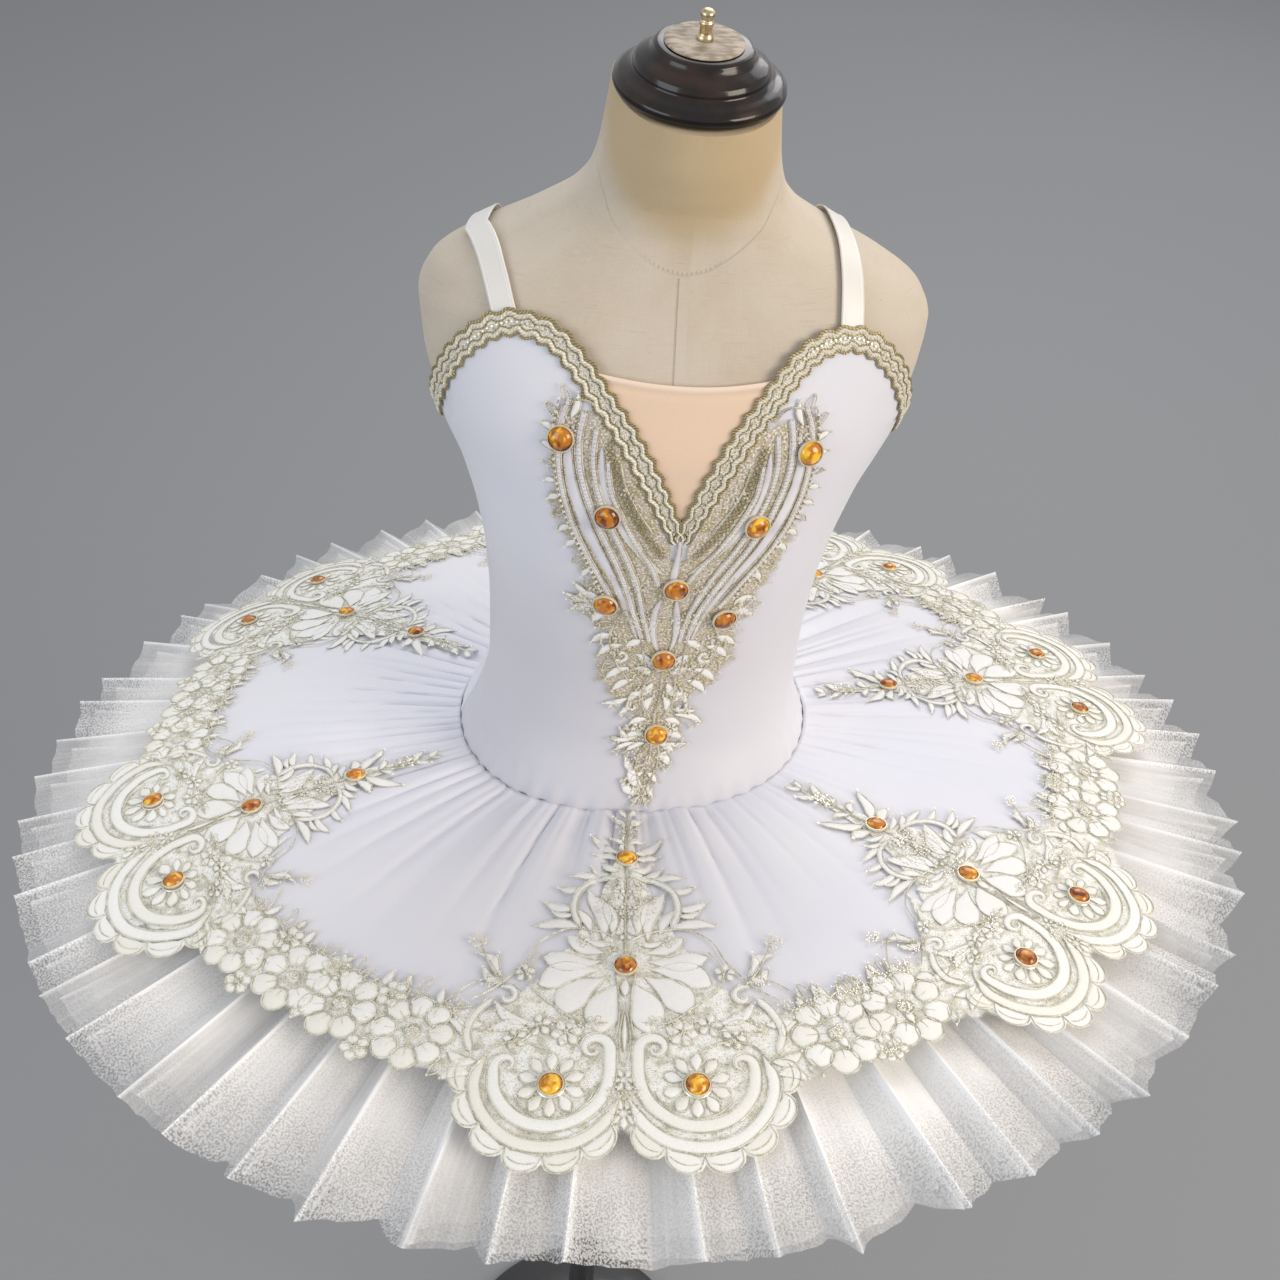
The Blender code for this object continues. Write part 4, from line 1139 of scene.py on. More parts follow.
def net_layer(number, root, hem, radius):
    """One pleated layer. Across a pleat the height falls along the long side from the ridge to
    the valley, then climbs the short side to the next ridge; it grows from the hip to the hem,
    each pleat a little differently. The ridges' ends stand past the hem, the valleys' fall
    short of it, and the cut edge between them is wavy."""
    start, valley, tall = pleat_stations()
    dice = np.random.default_rng(60 + number)
    jag = dice.uniform(0.5, 1.35, PLEATS)
    panel = np.repeat(dice.uniform(0, 1, (PLEATS, 2)), (LONG_STEPS, SHORT_STEPS), axis=1).ravel()
    long_side = np.arange(LONG_STEPS) / LONG_STEPS
    short_side = np.arange(SHORT_STEPS) / SHORT_STEPS

    def around(along, back):
        """One value for each column, from those of a pleat's long side and its short one."""
        sides = (np.broadcast_to(along, (PLEATS, LONG_STEPS)), np.broadcast_to(back, (PLEATS, SHORT_STEPS)))
        return np.concatenate(sides, axis=1).ravel()

    def held(value):
        """One value for each pleat: level on its long side, then over to the next pleat's."""
        return around(value[:, None], between(value[:, None], np.roll(value, -1)[:, None], short_side))

    angles = around(between(start[:-1, None], valley[:, None], long_side),
                    between(valley[:, None], start[1:, None], short_side))
    way = around(1 - 2 * (long_side + 0.12 * np.sin(2 * math.pi * long_side)), -1 + 2 * short_side)
    height, point = held(tall), held(jag)
    crease = around(1.0 * (long_side == 0), 0.5 * (short_side == 0))
    share = rows_of(NET_ROWS)
    root_radius = hip_radius(angles, root, SECOND_LAYER)
    ragged = (1 + 0.7 * fade(np.abs(angles), 8, 14) * fade(np.abs(angles - 5), 42, 34)
              - 0.65 * fade(angles, -32, -38) * fade(angles, -84, -72))
    hem_radius = (radius + PLEAT_POINT * way * height * point * ragged
                  + 0.0009 * ripple(31 + number, angles * 1.7))
    ring = between(root_radius, hem_radius, share)
    reach = (ring - root_radius) / (NETS["radius"][0] - root_radius)
    rise = between(PLEAT_ROOT_RISE, PLEAT_RISE * height, reach)
    if number == 1:
        bend_radius, bend_lift = TOP_NET_BEND
        inner = between(root, bend_lift, (ring - root_radius) / (bend_radius - root_radius))
        outer = between(bend_lift, hem, (ring - bend_radius) / (radius - bend_radius))
        level = np.where(ring < bend_radius, inner, outer)
    else:
        level = between(root, hem, share)
    sway = reach**2 * (0.35 * np.sin(np.radians(angles) * 23) + 0.25 * np.sin(np.radians(angles) * 41))
    soft = 0.0006 * reach**2 * ripple(40 + number, angles * 1.3, share * 4, waves=7)
    points = skirt_point(angles + sway, ring, level + 0.0005 + rise * way + soft)
    piece = sheet_of(f"pleated_net_{number}", points, stacked(np.radians(angles) * 0.4, ring),
                     make_white_net(), turn=0.8 * math.pi)
    note(piece, "crease", crease * fade(share, 0.15, 0.7))
    # The panel number is raised round 17 degrees to the right, short of the hem: the net there is denser and
    # whiter, a painted pool of light.
    note(piece, "panel", panel + 1.4 * np.exp(-((angles - 17) / 11)**2) * fade(share, 1.0, 0.84))
    stands_for(piece, "white_net", f"net_layer_{number}")
    return piece


def build_nets():
    """The three pleated layers, nested with their pleats in step."""
    for number, row in enumerate(zip(NETS["root"], NETS["hem"], NETS["radius"]), 1):
        piece = net_layer(number, *row)


def gathers(angle, radius):
    """Height of the overlay's gathers: uneven radial folds with narrow valleys, crisp near the
    hip, that open out before the lace, some of them longer than others."""
    turn = np.radians(angle)
    bend = turn + 0.03 * np.sin(5 * turn + 1) + (radius - 0.11) * 0.35 * np.sin(3 * turn)
    length = 0.248 + 0.034 * ripple(54, bend, waves=6, lowest=9, highest=31)
    near = np.clip((length - radius) / 0.13, 0, 1)
    wide = ripple(51, bend, waves=7, lowest=11, highest=29)
    valley = np.abs(ripple(53, bend, waves=5, lowest=15, highest=44))
    fine = ripple(52, bend, waves=9, lowest=70, highest=150)
    full = 1 - 0.66 * np.exp(-(((angle + 180) % 360 - 228) / 38)**4)
    return full * (0.0024 * near * wide - 0.0034 * near**1.2 * np.exp(-valley * 6)
                   + 0.0012 * near**2.4 * fine)


OVERLAY_COLUMNS = 620


def build_overlay():
    """The smooth plate over the net: the skirt's dome with the gathers added."""
    angles = np.arange(OVERLAY_COLUMNS) * 360 / OVERLAY_COLUMNS
    flare = hip_flare(angles, hip_height(angles, DOME_TOP - 0.0018))
    inner = hip_radius(angles, DOME_TOP - 0.0018, FORM_GAP + 0.0014 + flare * 0.8)
    share = rows_of(30)**1.25
    radius = between(inner, OVERLAY_RADIUS, share)
    lift = dome_lift(radius) - 0.0014 + gathers(angles, radius) * fade(share, -0.02, 0.03)
    lift = lift - 0.0008 * (1 - fade(share, 0.0, 0.12)) * fade(np.cos(np.radians(angles)), 0.2, 0.8)
    points = skirt_point(angles, radius, lift)
    uv = stacked(np.radians(angles) * 0.2, radius)
    piece = sheet_of("overlay_cloth", points[::-1], uv[::-1], make_white_cloth(), turn=0.4 * math.pi,
                     thickness=bpy.context.scene.tutu_sizes.cloth)
    stands_for(piece, "white_stretch_cloth", "skirt_overlay")


# ---- the stage ----

CAMERA_PLACE = (-0.06779, -0.62443, 1.51112)
CAMERA_RIGHT = (0.99616, -0.0466, 0.07412)
CAMERA_UP = (-0.02899, 0.62322, 0.78151)
CAMERA_AHEAD = (0.08262, 0.78065, -0.61948)
LENS = 1300 / 1280 * 36
# Each light: name, place, target, size, power and colour.
LIGHTS = (
    ("key_light", (2.3, -1.6, 2.3), (0, 0, 1.0), 1.6, 58.0, (1.0, 0.89, 0.76)),
    ("cool_light", (-2.6, -1.7, 1.9), (0, 0, 1.0), 2.0, 32.0, (0.84, 0.91, 1.0)),
    ("back_light", (0.6, 2.2, 3.2), (0, 0, 1.0), 2.0, 24.0, (0.98, 0.98, 1.0)),
    ("floor_light", (2.2, 4.5, 4.0), (1.5, 5.5, 0), 5.0, 100.0, (1.0, 1.0, 1.0)),
)


def matrix_of(right, up, back, place):
    """The matrix of a lamp or a camera, which looks away from `back`."""
    return Matrix([[column[i] for column in (right, up, back, place)] for i in range(3)] + [[0, 0, 0, 1]])


def add_light(name, place, target, size, power, colour):
    """A square soft light that faces its target."""
    lamp = bpy.data.lights.new(name, "AREA")
    lamp.shape = "SQUARE"
    lamp.size = size
    lamp.energy = power
    lamp.color = colour
    holder = bpy.data.objects.new(name, lamp)
    away = unit(np.array(place) - np.array(target))
    right = unit(np.cross([0, 0, 1], away))
    holder.matrix_world = matrix_of(right, np.cross(away, right), away, place)
    bpy.context.scene.collection.objects.link(holder)


def build_stage():
    """The floor, the soft lights and the camera."""
    scene = bpy.context.scene
    corners = np.array([[[-14, -8, 0], [14, -8, 0]], [[-14, 16, 0], [14, 16, 0]]], dtype=float)
    floor = sheet_of("floor", corners, corners[..., :2], make_floor())
    for row in LIGHTS:
        add_light(*row)
    world = bpy.data.worlds.new("studio")
    scene.world = world
    world.use_nodes = True
    sky = world.node_tree.nodes["Background"].inputs
    sky["Color"].default_value = (0.88, 0.885, 0.9, 1.0)
    sky["Strength"].default_value = 0.64
    lens = bpy.data.cameras.new("camera")
    lens.sensor_width = 36.0
    lens.lens = LENS
    lens.clip_start = 0.02
    camera = bpy.data.objects.new("camera", lens)
    back = [-part for part in CAMERA_AHEAD]
    camera.matrix_world = matrix_of(CAMERA_RIGHT, CAMERA_UP, back, CAMERA_PLACE)
    scene.collection.objects.link(camera)
    scene.camera = camera
    scene.view_settings.view_transform = "Standard"


# ---- drawing lace ----

# A drawing's finishes, by number: 0 satin, 1 outline cord, 2 beads, then two of the piece's own.
BEADS = 2
STRAND_STEPS = (4, 6, 8, 11, 14, 18, 24, 32, 44, 64, 110, 170)   # how finely a line may be divided
STRAND_SPACING = {0: 0.0025, 4: 0.0025}              # by finish: satin, and sheer satin
CORD_SPACING = 0.002
SATIN_RISE = 0.0004
SATIN_SECTION = np.radians((0, 55, 125, 180))
CORD_SECTION = np.radians((0, 90, 180))


def curve(knots, count=24):
    """A smooth line through knots given in millimetres: cubics whose slope at each knot follows
    the knots on either side of it."""
    knots = np.array(knots, dtype=float) * 0.001
    slope = np.gradient(knots, axis=0)
    t = np.linspace(0, len(knots) - 1, 12 * len(knots))
    row = np.clip(t.astype(int), 0, len(knots) - 2)
    line = cubic((t - row)[:, None], knots[row], knots[row + 1], slope[row], slope[row + 1])
    return resample(line, count)[0]


def spiral(x, y, inner, outer, start, end, count=40):
    """A volute about a point, in millimetres: its radius grows evenly with the angle."""
    turn = np.radians(np.linspace(start, end, count))
    reach = np.linspace(inner, outer, count)
    return 0.001 * stacked(x + reach * np.cos(turn), y + reach * np.sin(turn))


def arc(x, y, reach, start, end, count=24):
    """Part of a circle about a point."""
    return spiral(x, y, reach, reach, start, end, count)


def aside(path):
    """Unit vectors to the left of a flat line."""
    way = unit(np.gradient(path, axis=-2) + 1e-12)
    return stacked(-way[..., 1], way[..., 0])


def beside(path, distance):
    """A line at a distance, or at one for each of its points, to the left of a flat line."""
    return path + aside(path) * np.reshape(distance, (-1, 1))


def ways(count, start):
    """Unit vectors spread evenly round a point."""
    turn = np.radians(start + np.arange(count) * 360 / count)
    return stacked(np.cos(turn), np.sin(turn))


class Drawing:
    """Embroidery drawn flat in metres: satin shapes, cords and studs, laid on a piece later."""

    def __init__(self):
        self.strands = []
        self.dots = []

    def strand(self, path, half, rise, base, finish):
        """A raised line with a half width all along it, divided as finely as its length needs."""
        half = np.broadcast_to(half, len(path))
        length = lengths_along(path)[-1]
        wanted = length / STRAND_SPACING.get(finish, CORD_SPACING)
        count = next((step for step in STRAND_STEPS if step >= wanted), STRAND_STEPS[-1])
        spread = stacked(*path.T, half)
        self.strands.append((spread_evenly(spread, count), rise, base, finish))

    def cord(self, path, width=0.0007, base=SATIN_RISE, finish=1):
        """An outline cord, tapered at both ends."""
        share = np.linspace(0, 1, len(path))
        self.strand(path, width / 2 * (0.35 + 0.65 * fade(np.minimum(share, 1 - share), 0, 0.06)),
                    width * 0.5, base, finish)

    def satin(self, path, half, width=0.0006, finish=0):
        """A satin-stitched shape along a line, with a cord round it."""
        self.strand(path, np.maximum(half, 0.0001), SATIN_RISE, 0.0, finish)
        self.outline(path, half, width, SATIN_RISE / 2)

    def outline(self, path, half, width, base=SATIN_RISE):
        """A cord round a shape that is `half` wide to each side of a line."""
        self.cord(np.concatenate([beside(path, half), beside(path, -half)[::-1]]), width, base)

    def leaf(self, foot_x, foot_y, tip_x, tip_y, half, bend=0.1, full=True, blunt=1.0):
        """A leaf from foot to tip, in millimetres: satin or, if not full, only its outline."""
        foot, tip = np.array([foot_x, foot_y]), np.array([tip_x, tip_y])
        middle = (foot + tip) / 2 + bend * np.array([foot_y - tip_y, tip_x - foot_x])
        path = curve([foot, middle, tip], 15)
        share = np.linspace(0, 1, 15)
        shape = 0.001 * half * np.sin(np.pi * share**blunt)**0.8
        if full:
            self.satin(path, shape)
        else:
            self.outline(path, shape, 0.0007)

    def leaves(self, rows, bead):
        """Leaves, each with a bead at its tip: a row is a leaf's own numbers."""
        for row in rows:
            self.leaf(*row)
            self.studs(0.001 * np.array(row[2:4]), bead)

    def line(self, width, *knots, count=24):
        """A cord through knots."""
        self.cord(curve(knots, count), width)

    def disc(self, x, y, reach):
        """A round outlined disc."""
        across = 0.001 * stacked(x + reach * np.array([-1, -0.5, 0, 0.5, 1]), y)
        self.strand(across, 0.001 * reach * np.array([0.1, 0.87, 1, 0.87, 0.1]), 0.0006, 0.0, 0)
        self.cord(arc(x, y, reach, 0, 372, 26), 0.0008)

    def flower(self, x, y, inner, outer, petals, half, start=0.0, full=True):
        """Petals round a point, from an inner to an outer radius."""
        for way in ways(petals, start):
            self.leaf(x + way[0] * inner, y + way[1] * inner, x + way[0] * outer, y + way[1] * outer,
                      half, 0.0, full, 1.35)

    def ribbon(self, path, half, taper=0.1):
        """A satin band with a cord along each edge, narrowed over a share of it at both ends."""
        share = np.linspace(0, 1, len(path))
        shape = half * (0.25 + 0.75 * fade(np.minimum(share, 1 - share), 0, taper))
        self.strand(path, shape, 0.0005, 0.0, 0)
        for side in (-1, 1):
            self.cord(beside(path, side * shape))

    def scallops(self, line, count, depth):
        """Rounded lobes side by side along a line, on its left-hand side."""
        ends = np.linspace(0.02, 0.98, count + 1) * (len(line) - 1)
        for start, end in zip(ends[:-1], ends[1:]):
            at = np.linspace(start, end, 15)
            path = read_along(at, np.arange(len(line)), line)
            share = np.linspace(-1, 1, 15)
            bulge = depth * np.sqrt(np.clip(1 - share**2, 0, 1)) * (1 + 0.1 * share)
            self.strand(beside(path, bulge * 0.5), np.maximum(bulge * 0.52, 0.0002), SATIN_RISE, 0.0, 0)
            self.cord(beside(path, bulge))
            self.cord(beside(path, bulge * 0.58)[2:-2], 0.0005)

    def beads(self, path, apart, reach):
        """Beads at even distances along a line."""
        count = max(int(lengths_along(path)[-1] / apart), 2)
        self.studs(resample(path, count)[0], reach)

    def studs(self, points, reach):
        """Small round beads or sequins at points."""
        for point in np.atleast_2d(points):
            self.dots.append((*point, reach))

    def scatter(self, seed, x, y, spread, count, reach=0.0006):
        """Beads strewn round a point, in millimetres."""
        dice = np.random.default_rng(seed)
        turn = dice.uniform(0, 2 * math.pi, count)
        away = spread * np.sqrt(dice.uniform(0, 1, count))
        self.studs(0.001 * stacked(x + away * np.cos(turn), y + away * np.sin(turn)), reach)

    def both(self):
        """Repeat all that is drawn so far as its mirror image."""
        for spread, rise, base, finish in list(self.strands):
            self.strands.append((spread * (-1, 1, 1), rise, base, finish))
        self.dots += [(-x, y, reach) for x, y, reach in self.dots]

    def lay(self, work, plan):
        """Put every strand and stud on a piece: plan turns flat points and a lift into places.
        A strand's section is a low arch as wide as the strand; a stud is a blunt cone with five sides."""
        dice = np.random.default_rng(5)
        for count in STRAND_STEPS:
            for finish in range(5):
                chosen = [row for row in self.strands if len(row[0]) == count and row[3] == finish]
                if not chosen:
                    continue
                spread = np.array([row[0] for row in chosen])
                rise, base = (np.array([row[part] for row in chosen])[:, None, None] for part in (1, 2))
                section = SATIN_SECTION if finish in STRAND_SPACING else CORD_SECTION
                out = aside(spread[..., :2])[:, :, None] * (spread[..., 2:, None] * np.cos(section)[:, None])
                flat = spread[:, :, None, :2] + out
                lift = base + rise * np.sin(section)
                along = np.cumsum(np.linalg.norm(np.diff(spread[..., :2], axis=1, prepend=spread[:, :1, :2]),
                                                 axis=-1), axis=1)
                uv = stacked(spread[..., 2:] * np.cos(section), along[..., None])
                work.patch(plan(flat[..., 0], flat[..., 1], lift), uv, finish, turn=0.0, ends=True,
                           values=dice.uniform(0, 1, (len(chosen), 1, 1)))
        if self.dots:
            dots = np.array(self.dots)
            x, y, reach = (part[:, None, None] for part in dots.T)
            side = ways(5, 0)
            lift = reach * np.array([[0.0], [1.1]]) + SATIN_RISE
            reach = reach * np.array([[1.0], [0.6]])
            work.patch(plan(x + reach * side[:, 0], y + reach * side[:, 1], lift), np.zeros(2), BEADS,
                       turn=0.0, ends=True, values=dice.uniform(0, 1, (len(dots), 1, 1)))


# ---- the skirt's lace ----

# Each motif: its angle, the radius of its tip and of its inner, middle and outer stones, the
# outer stones' distance to the side, and how far its garland runs to the left and the right.
MOTIFS = table(
    "angle tip inner middle outer side left right",
    (-172, 0.12, 0.17, 0.232, 0.292, 0.034, 24.2, 23.9),
    (-123.5, 0.124, 0.174, 0.238, 0.3, 0.038, 24, 28.4),
    (-67, 0.126, 0.178, 0.239, 0.289, 0.042, 28.4, 32.1),
    (-2.7, 0.108, 0.15, 0.229, 0.295, 0.033, 32.1, 24.4),
    (46.3, 0.126, 0.185, 0.243, 0.293, 0.029, 24.4, 24.8),
    (96, 0.124, 0.173, 0.232, 0.292, 0.035, 24.8, 21.7),
    (139.5, 0.122, 0.172, 0.23, 0.286, 0.034, 21.7, 24.2),
)
LACE_RIM = 0.336
GARLAND_RADIUS = 0.28
DRAWN = (0.118, 0.15, 0.229, 0.295, LACE_RIM)  # the same radii, and the rim's, in the drawing
DRAWN_SIDE = 0.033

# Leaves on one side of a motif: foot and tip, in millimetres, half width, then the bend where it
# is not 0.1 and a 0 where only the outline is worked.
LEAVES = (
    (0, 122, 5, 117, 1.5), (0, 128, 8, 123, 1.7), (0, 135, 6, 130, 1.4, 0.1, 0), (1, 141, 9, 138, 1.5, -0.1),
    (4, 147, 20, 136, 2.3, 0.08), (5, 151, 18, 148, 1.8, -0.1), (3, 160, 14, 153, 2.2, 0.15),
    (7, 166, 19, 157, 2.4), (10, 168, 30, 165, 2.6, -0.08), (3, 166, 6, 176, 1.9, 0.2),
    (22, 176, 36, 173, 2.3), (26, 190, 42, 184, 2.8), (23, 203, 46, 201, 3.2, -0.1),
    (27, 194, 38, 191, 2, 0.15), (2, 196, 7, 208, 2.2, 0.2), (6, 214, 20, 211, 1.9),
    (44, 262, 62, 250, 3, 0.15), (45, 266, 64, 265, 3.2, -0.15), (41, 264, 52, 274, 2.6, -0.1, 0),
    (58, 238, 70, 228, 2.3, 0.2), (62, 232, 74, 219, 2.1, -0.2), (60, 234, 63, 219, 2, 0.2),
    (66, 262, 80, 258, 2.6), (68, 282, 82, 276, 2.8, 0.15), (70, 288, 84, 290, 2.8, -0.15),
    (22, 262, 30, 256, 1.9, 0.1, 0),
)
# Shell lobes of the fan on one side of the middle stone: foot, tip, half width and bend.
SHELL = (
    (9, 220, 29, 209, 4.2, 0.1), (11, 225, 41, 222, 5.8, 0.08), (12, 230, 42, 240, 7.4, -0.1),
    (9, 235, 31, 257, 8.2, -0.12), (3, 238, 11, 268, 8.6, -0.1),
)


def draw_motif():
    """Half of a motif, then its mirror image. From the hip outwards: a leafy stem, a pair of
    crescents, a shell of satin lobes round the middle stone, a blossom and leaves beside it, a
    volute ribbon that curls in next to the middle and runs round the hem side of a daisy, a
    second band outside it, and scallops along its rim."""
    made = Drawing()
    made.leaves(LEAVES, 0.0007)
    for row in SHELL:
        made.leaf(*row, True, 1.5)
    made.ribbon(curve([(5, 166), (15, 167), (24, 176), (27, 189), (23, 203)]), 0.0017)
    for row in ((11, 212, 20, 176, 4.6, -0.1), (6, 210, 11, 184, 3.4, -0.06), (17, 207, 26, 190, 2.8, -0.1)):
        made.leaf(*row, True, 1.3)
    for x, y, reach in ((3, 178, 4.2), (8, 172, 3.6), (3, 190, 3.8), (13, 182, 3.0)):
        made.flower(x, y, 0.8, reach, 5, reach * 0.36, 9 * x)
    made.line(0.001, (2, 212), (14, 205), (30, 204), (43, 212), (50, 226), (62, 240), (74, 248), count=60)
    made.line(0.0009, (8, 262), (20, 262), (34, 252), (46, 240), (47, 228), (41, 219), count=40)
    made.line(0.0009, (2, 220), (5, 232), (3, 246), (3, 262), (5, 272), count=30)
    rim = curve([(6.4, 277), (7.0, 292), (12, 303.5), (23, 311.5), (36, 313.5), (49, 309), (58, 298),
                 (60, 286)], 60)
    made.ribbon(np.concatenate([spiral(14, 276, 2.0, 7.6, 150, -185, 44), rim,
                                spiral(54, 284, 6.0, 2.0, 20, -250, 36)]), 0.0031, taper=0.32)
    made.ribbon(curve([(2.5, 302), (9, 313), (21, 321), (37, 323), (52, 318.5), (64, 306), (68, 292),
                       (64, 279)], 60), 0.0029)
    made.scallops(curve([(4, 312), (13, 320), (25, 325.5), (39, 326.5), (54, 321), (66, 309), (72, 293),
                         (71, 278)], 80), 6, 0.0084)
    made.flower(33, 294, 6.4, 16.0, 10, 3.0, 18)
    made.cord(arc(33, 294, 6.6, 0, 370, 30), 0.0009, finish=BEADS)
    made.cord(arc(32, 291, 19.5, 25, 160, 30), 0.0009)
    for x, y, reach, petals in ((27, 267, 7.6, 6), (40, 263, 6.4, 5), (51, 270, 6.0, 5), (14, 262, 4.6, 5),
                                (49, 232, 5.6, 5), (21, 212, 4.2, 5)):
        made.flower(x, y, 1.2, reach, petals, reach * 0.36, 7 * x)
        made.scatter(x, x, y, 1.8, 6)
    made.ribbon(spiral(57, 246, 1.5, 6.2, 0, 300, 40), 0.0016)
    made.ribbon(curve([(63, 247), (70, 255), (74, 266), (71, 277)]), 0.002)
    made.line(0.001, (58, 240), (64, 232), (69, 222), (73, 212))
    made.line(0.0011, (36, 276), (48, 272), (60, 274), (68, 284))
    for row in ((1, 74, 211, 4.5, 26, 0.0007), (2, 3, 170, 5, 22), (3, 8, 190, 9, 30), (4, 26, 264, 9, 40),
                (5, 5, 218, 6, 22), (6, 60, 262, 8, 30), (7, 2, 130, 4, 22), (8, 66, 236, 6, 20),
                (9, 3, 300, 5, 18)):
        made.scatter(*row)
    made.both()
    made.line(0.0012, (0, 118), (0.8, 128), (-0.6, 138), (0, 150))
    made.line(0.0012, (0, 156), (0.6, 172), (-0.6, 190), (0, 222))
    made.leaf(0, 236, 0, 247, 2.3, 0.0)
    made.leaf(0, 250, 0, 286, 2.7, 0.0, False, 1.4)
    made.leaf(0, 256, 0, 278, 1.2, 0.0, True, 1.3)
    made.flower(0, 308, 1.6, 7.4, 7, 2.0, 90)
    made.flower(0, 292, 1.4, 5.8, 6, 1.7, 0)
    made.flower(0, 206, 1.4, 5.4, 6, 1.6, 0)
    return made


def motif_sizes(motif):
    """One motif's row of the table."""
    return {name: column[motif] for name, column in MOTIFS.items()}


def garland_gap(motif, side):
    """Where a motif's garland starts and ends, in degrees from the motif's middle."""
    return 17.0, MOTIFS["right" if side > 0 else "left"][motif] + 0.5


# A garland's flowers, for a long gap and for a short one: place along a gap of 60 mm, place
# across, petal size, petals and start; and its leaves, as above.
LONG_GAP = ((14, 283, 6.2, 8, 10), (46, 283, 6.6, 7, 30), (30, 268, 3.0, 6, 0), (30, 300, 2.8, 5, 20),
            (60, 268, 2.6, 5, 0))
SHORT_GAP = ((27, 283, 6.6, 8, 10), (60, 266, 2.8, 6, 0), (60, 300, 2.4, 5, 20))
GARLAND_LEAVES = (
    (8, 268, 12, 256, 2.2), (20, 264, 18, 252, 2.2, 0.1, 0), (3, 272, -6, 278, 2.6, 0.2),
    (38, 268, 35, 256, 2.4, -0.1), (48, 266, 52, 255, 2.2, 0.1, 0), (30, 284, 30, 292, 2.2),
    (-1, 292, 2, 302, 2.2, 0.1, 0), (60, 290, 58, 300, 2, 0), (26, 262, 28, 254, 1.9),
    (56, 264, 62, 258, 1.9),
)


def draw_garland(length):
    """The lace between two motifs, drawn along a line `length` mm long: large flowers with
    rounded, outlined petals, smaller ones between them, leaves, and beaded sprigs along the
    side towards the hip. A longer gap spreads them, at one size, and has a flower more."""
    made = Drawing()
    wide = length / 60
    stem = ((-4, 262), (6, 266), (18, 264), (30, 267), (44, 263), (60, 266))
    made.line(0.001, *((x * wide, y) for x, y in stem), count=50)
    for x, y, reach, petals, start in LONG_GAP if length > 50 else SHORT_GAP:
        x *= wide
        away = reach * 1.02 / math.sin(math.pi / petals)
        for way in ways(petals, start):
            made.disc(x + 0.86 * away * way[0], y + 0.86 * away * way[1], reach)
            made.cord(0.001 * (np.array([x, y]) + np.array([[0.3], [0.55], [0.82]]) * away * way), 0.0006)
        made.disc(x, y, reach * 0.62)
        made.flower(x, y, 0.4, reach * 0.55, 5, reach * 0.17, start + 30, False)
        made.scatter(petals, x, y, reach * 0.6, 8)
    made.leaves([(x * wide, y, tip_x + x * (wide - 1), *rest)
                 for x, y, tip_x, *rest in GARLAND_LEAVES], 0.0007)
    made.line(0.0009, (-6, 244), (2, 250), (10, 262), (12, 272))
    for seed, x, y, spread, count in ((11, 3, 263, 6.0, 30), (12, 24, 262, 6.0, 24), (13, 44, 265, 6.0, 26),
                                      (14, 30, 283, 4.0, 16)):
        made.scatter(seed, x * wide, y, spread, count)
    return made


def skirt_plan(motif, garland=0):
    """How a drawing lies on the skirt. The motif's radii and width are stretched so that the
    drawn stones meet its own; a garland starts beside the motif and keeps its size at 280 mm."""
    row = motif_sizes(motif)
    radii = [row["tip"], row["inner"], row["middle"], row["outer"], LACE_RIM]

    def plan(x, y, lift):
        if garland:
            angle = row["angle"] + garland * (garland_gap(motif, garland)[0] + np.degrees(x / GARLAND_RADIUS))
            radius = y
        else:
            y = np.interp(y, DRAWN, radii)
            x = x * (1 + (row["side"] / DRAWN_SIDE - 1) * fade(y, 0.24, 0.29) * 0.6)
            angle = row["angle"] + np.degrees(np.arctan2(x, y))
            radius = np.hypot(x, y)
        radius = np.minimum(radius, LACE_RIM + 0.0005)
        return skirt_point(angle, radius, dome_lift(radius) + gathers(angle, radius) + 0.0004 + lift)

    return plan


def skirt_stones():
    """Places of the skirt's stones: one inner, one middle and two outer to each motif."""
    return [(motif, x, y) for motif in range(len(MOTIFS["angle"]))
            for x, y in ((0, DRAWN[1]), (0, DRAWN[2]), (-DRAWN_SIDE, DRAWN[3]), (DRAWN_SIDE, DRAWN[3]))]


def lace_ground(motif):
    """The net that a motif is worked on: it fills the motif's outline out to the middle of both
    gaps, with its rim drawn in under the scallops. It keeps its distance from its own edge."""
    row = motif_sizes(motif)
    offset = np.linspace(-row["left"], row["right"], 120)
    fold = np.abs(offset)
    drawn = smooth(SKIRT_LACE, "inner", fold, key="angle")
    moved = np.interp(drawn, DRAWN[:3], [row["tip"], row["inner"], row["middle"]])
    inner = np.where(fold > 8.5, drawn, moved)
    outer = smooth(SKIRT_LACE, "outer", fold, key="angle") - 0.003
    radius = between(outer, inner, rows_of(26))
    turn = offset + row["angle"]
    uv = stacked(np.radians(turn) * 0.27, radius)
    lift = dome_lift(radius) + gathers(turn, radius) + 0.0002
    piece = sheet_of(f"lace_ground_{motif + 1}", skirt_point(turn, radius, lift), uv, make_lace_net())
    note(piece, "edge", np.minimum(np.minimum(outer - radius, radius - inner),
                                   np.radians(offset + row["left"]) * radius + 1.0))
    return piece


def build_skirt_lace():
    """Seven motifs with a garland to each side, every one on its own piece of net."""
    motif_drawing = draw_motif()
    finishes = [make_satin(), make_cord(), make_bead()]
    for motif in range(len(MOTIFS["angle"])):
        work = Patchwork()
        motif_drawing.lay(work, skirt_plan(motif))
        for side in (-1, 1):
            start, end = garland_gap(motif, side)
            draw_garland(math.radians(end - start) * GARLAND_RADIUS * 1000).lay(work, skirt_plan(motif, side))
        piece = work.piece(f"skirt_embroidery_{motif + 1}", finishes, facing=True, value="tone")
        stands_for(piece, "cream_lace")
        ground = lace_ground(motif)
        stands_for(ground, "cream_lace", f"skirt_lace_{motif + 1}")


# ---- stones ----

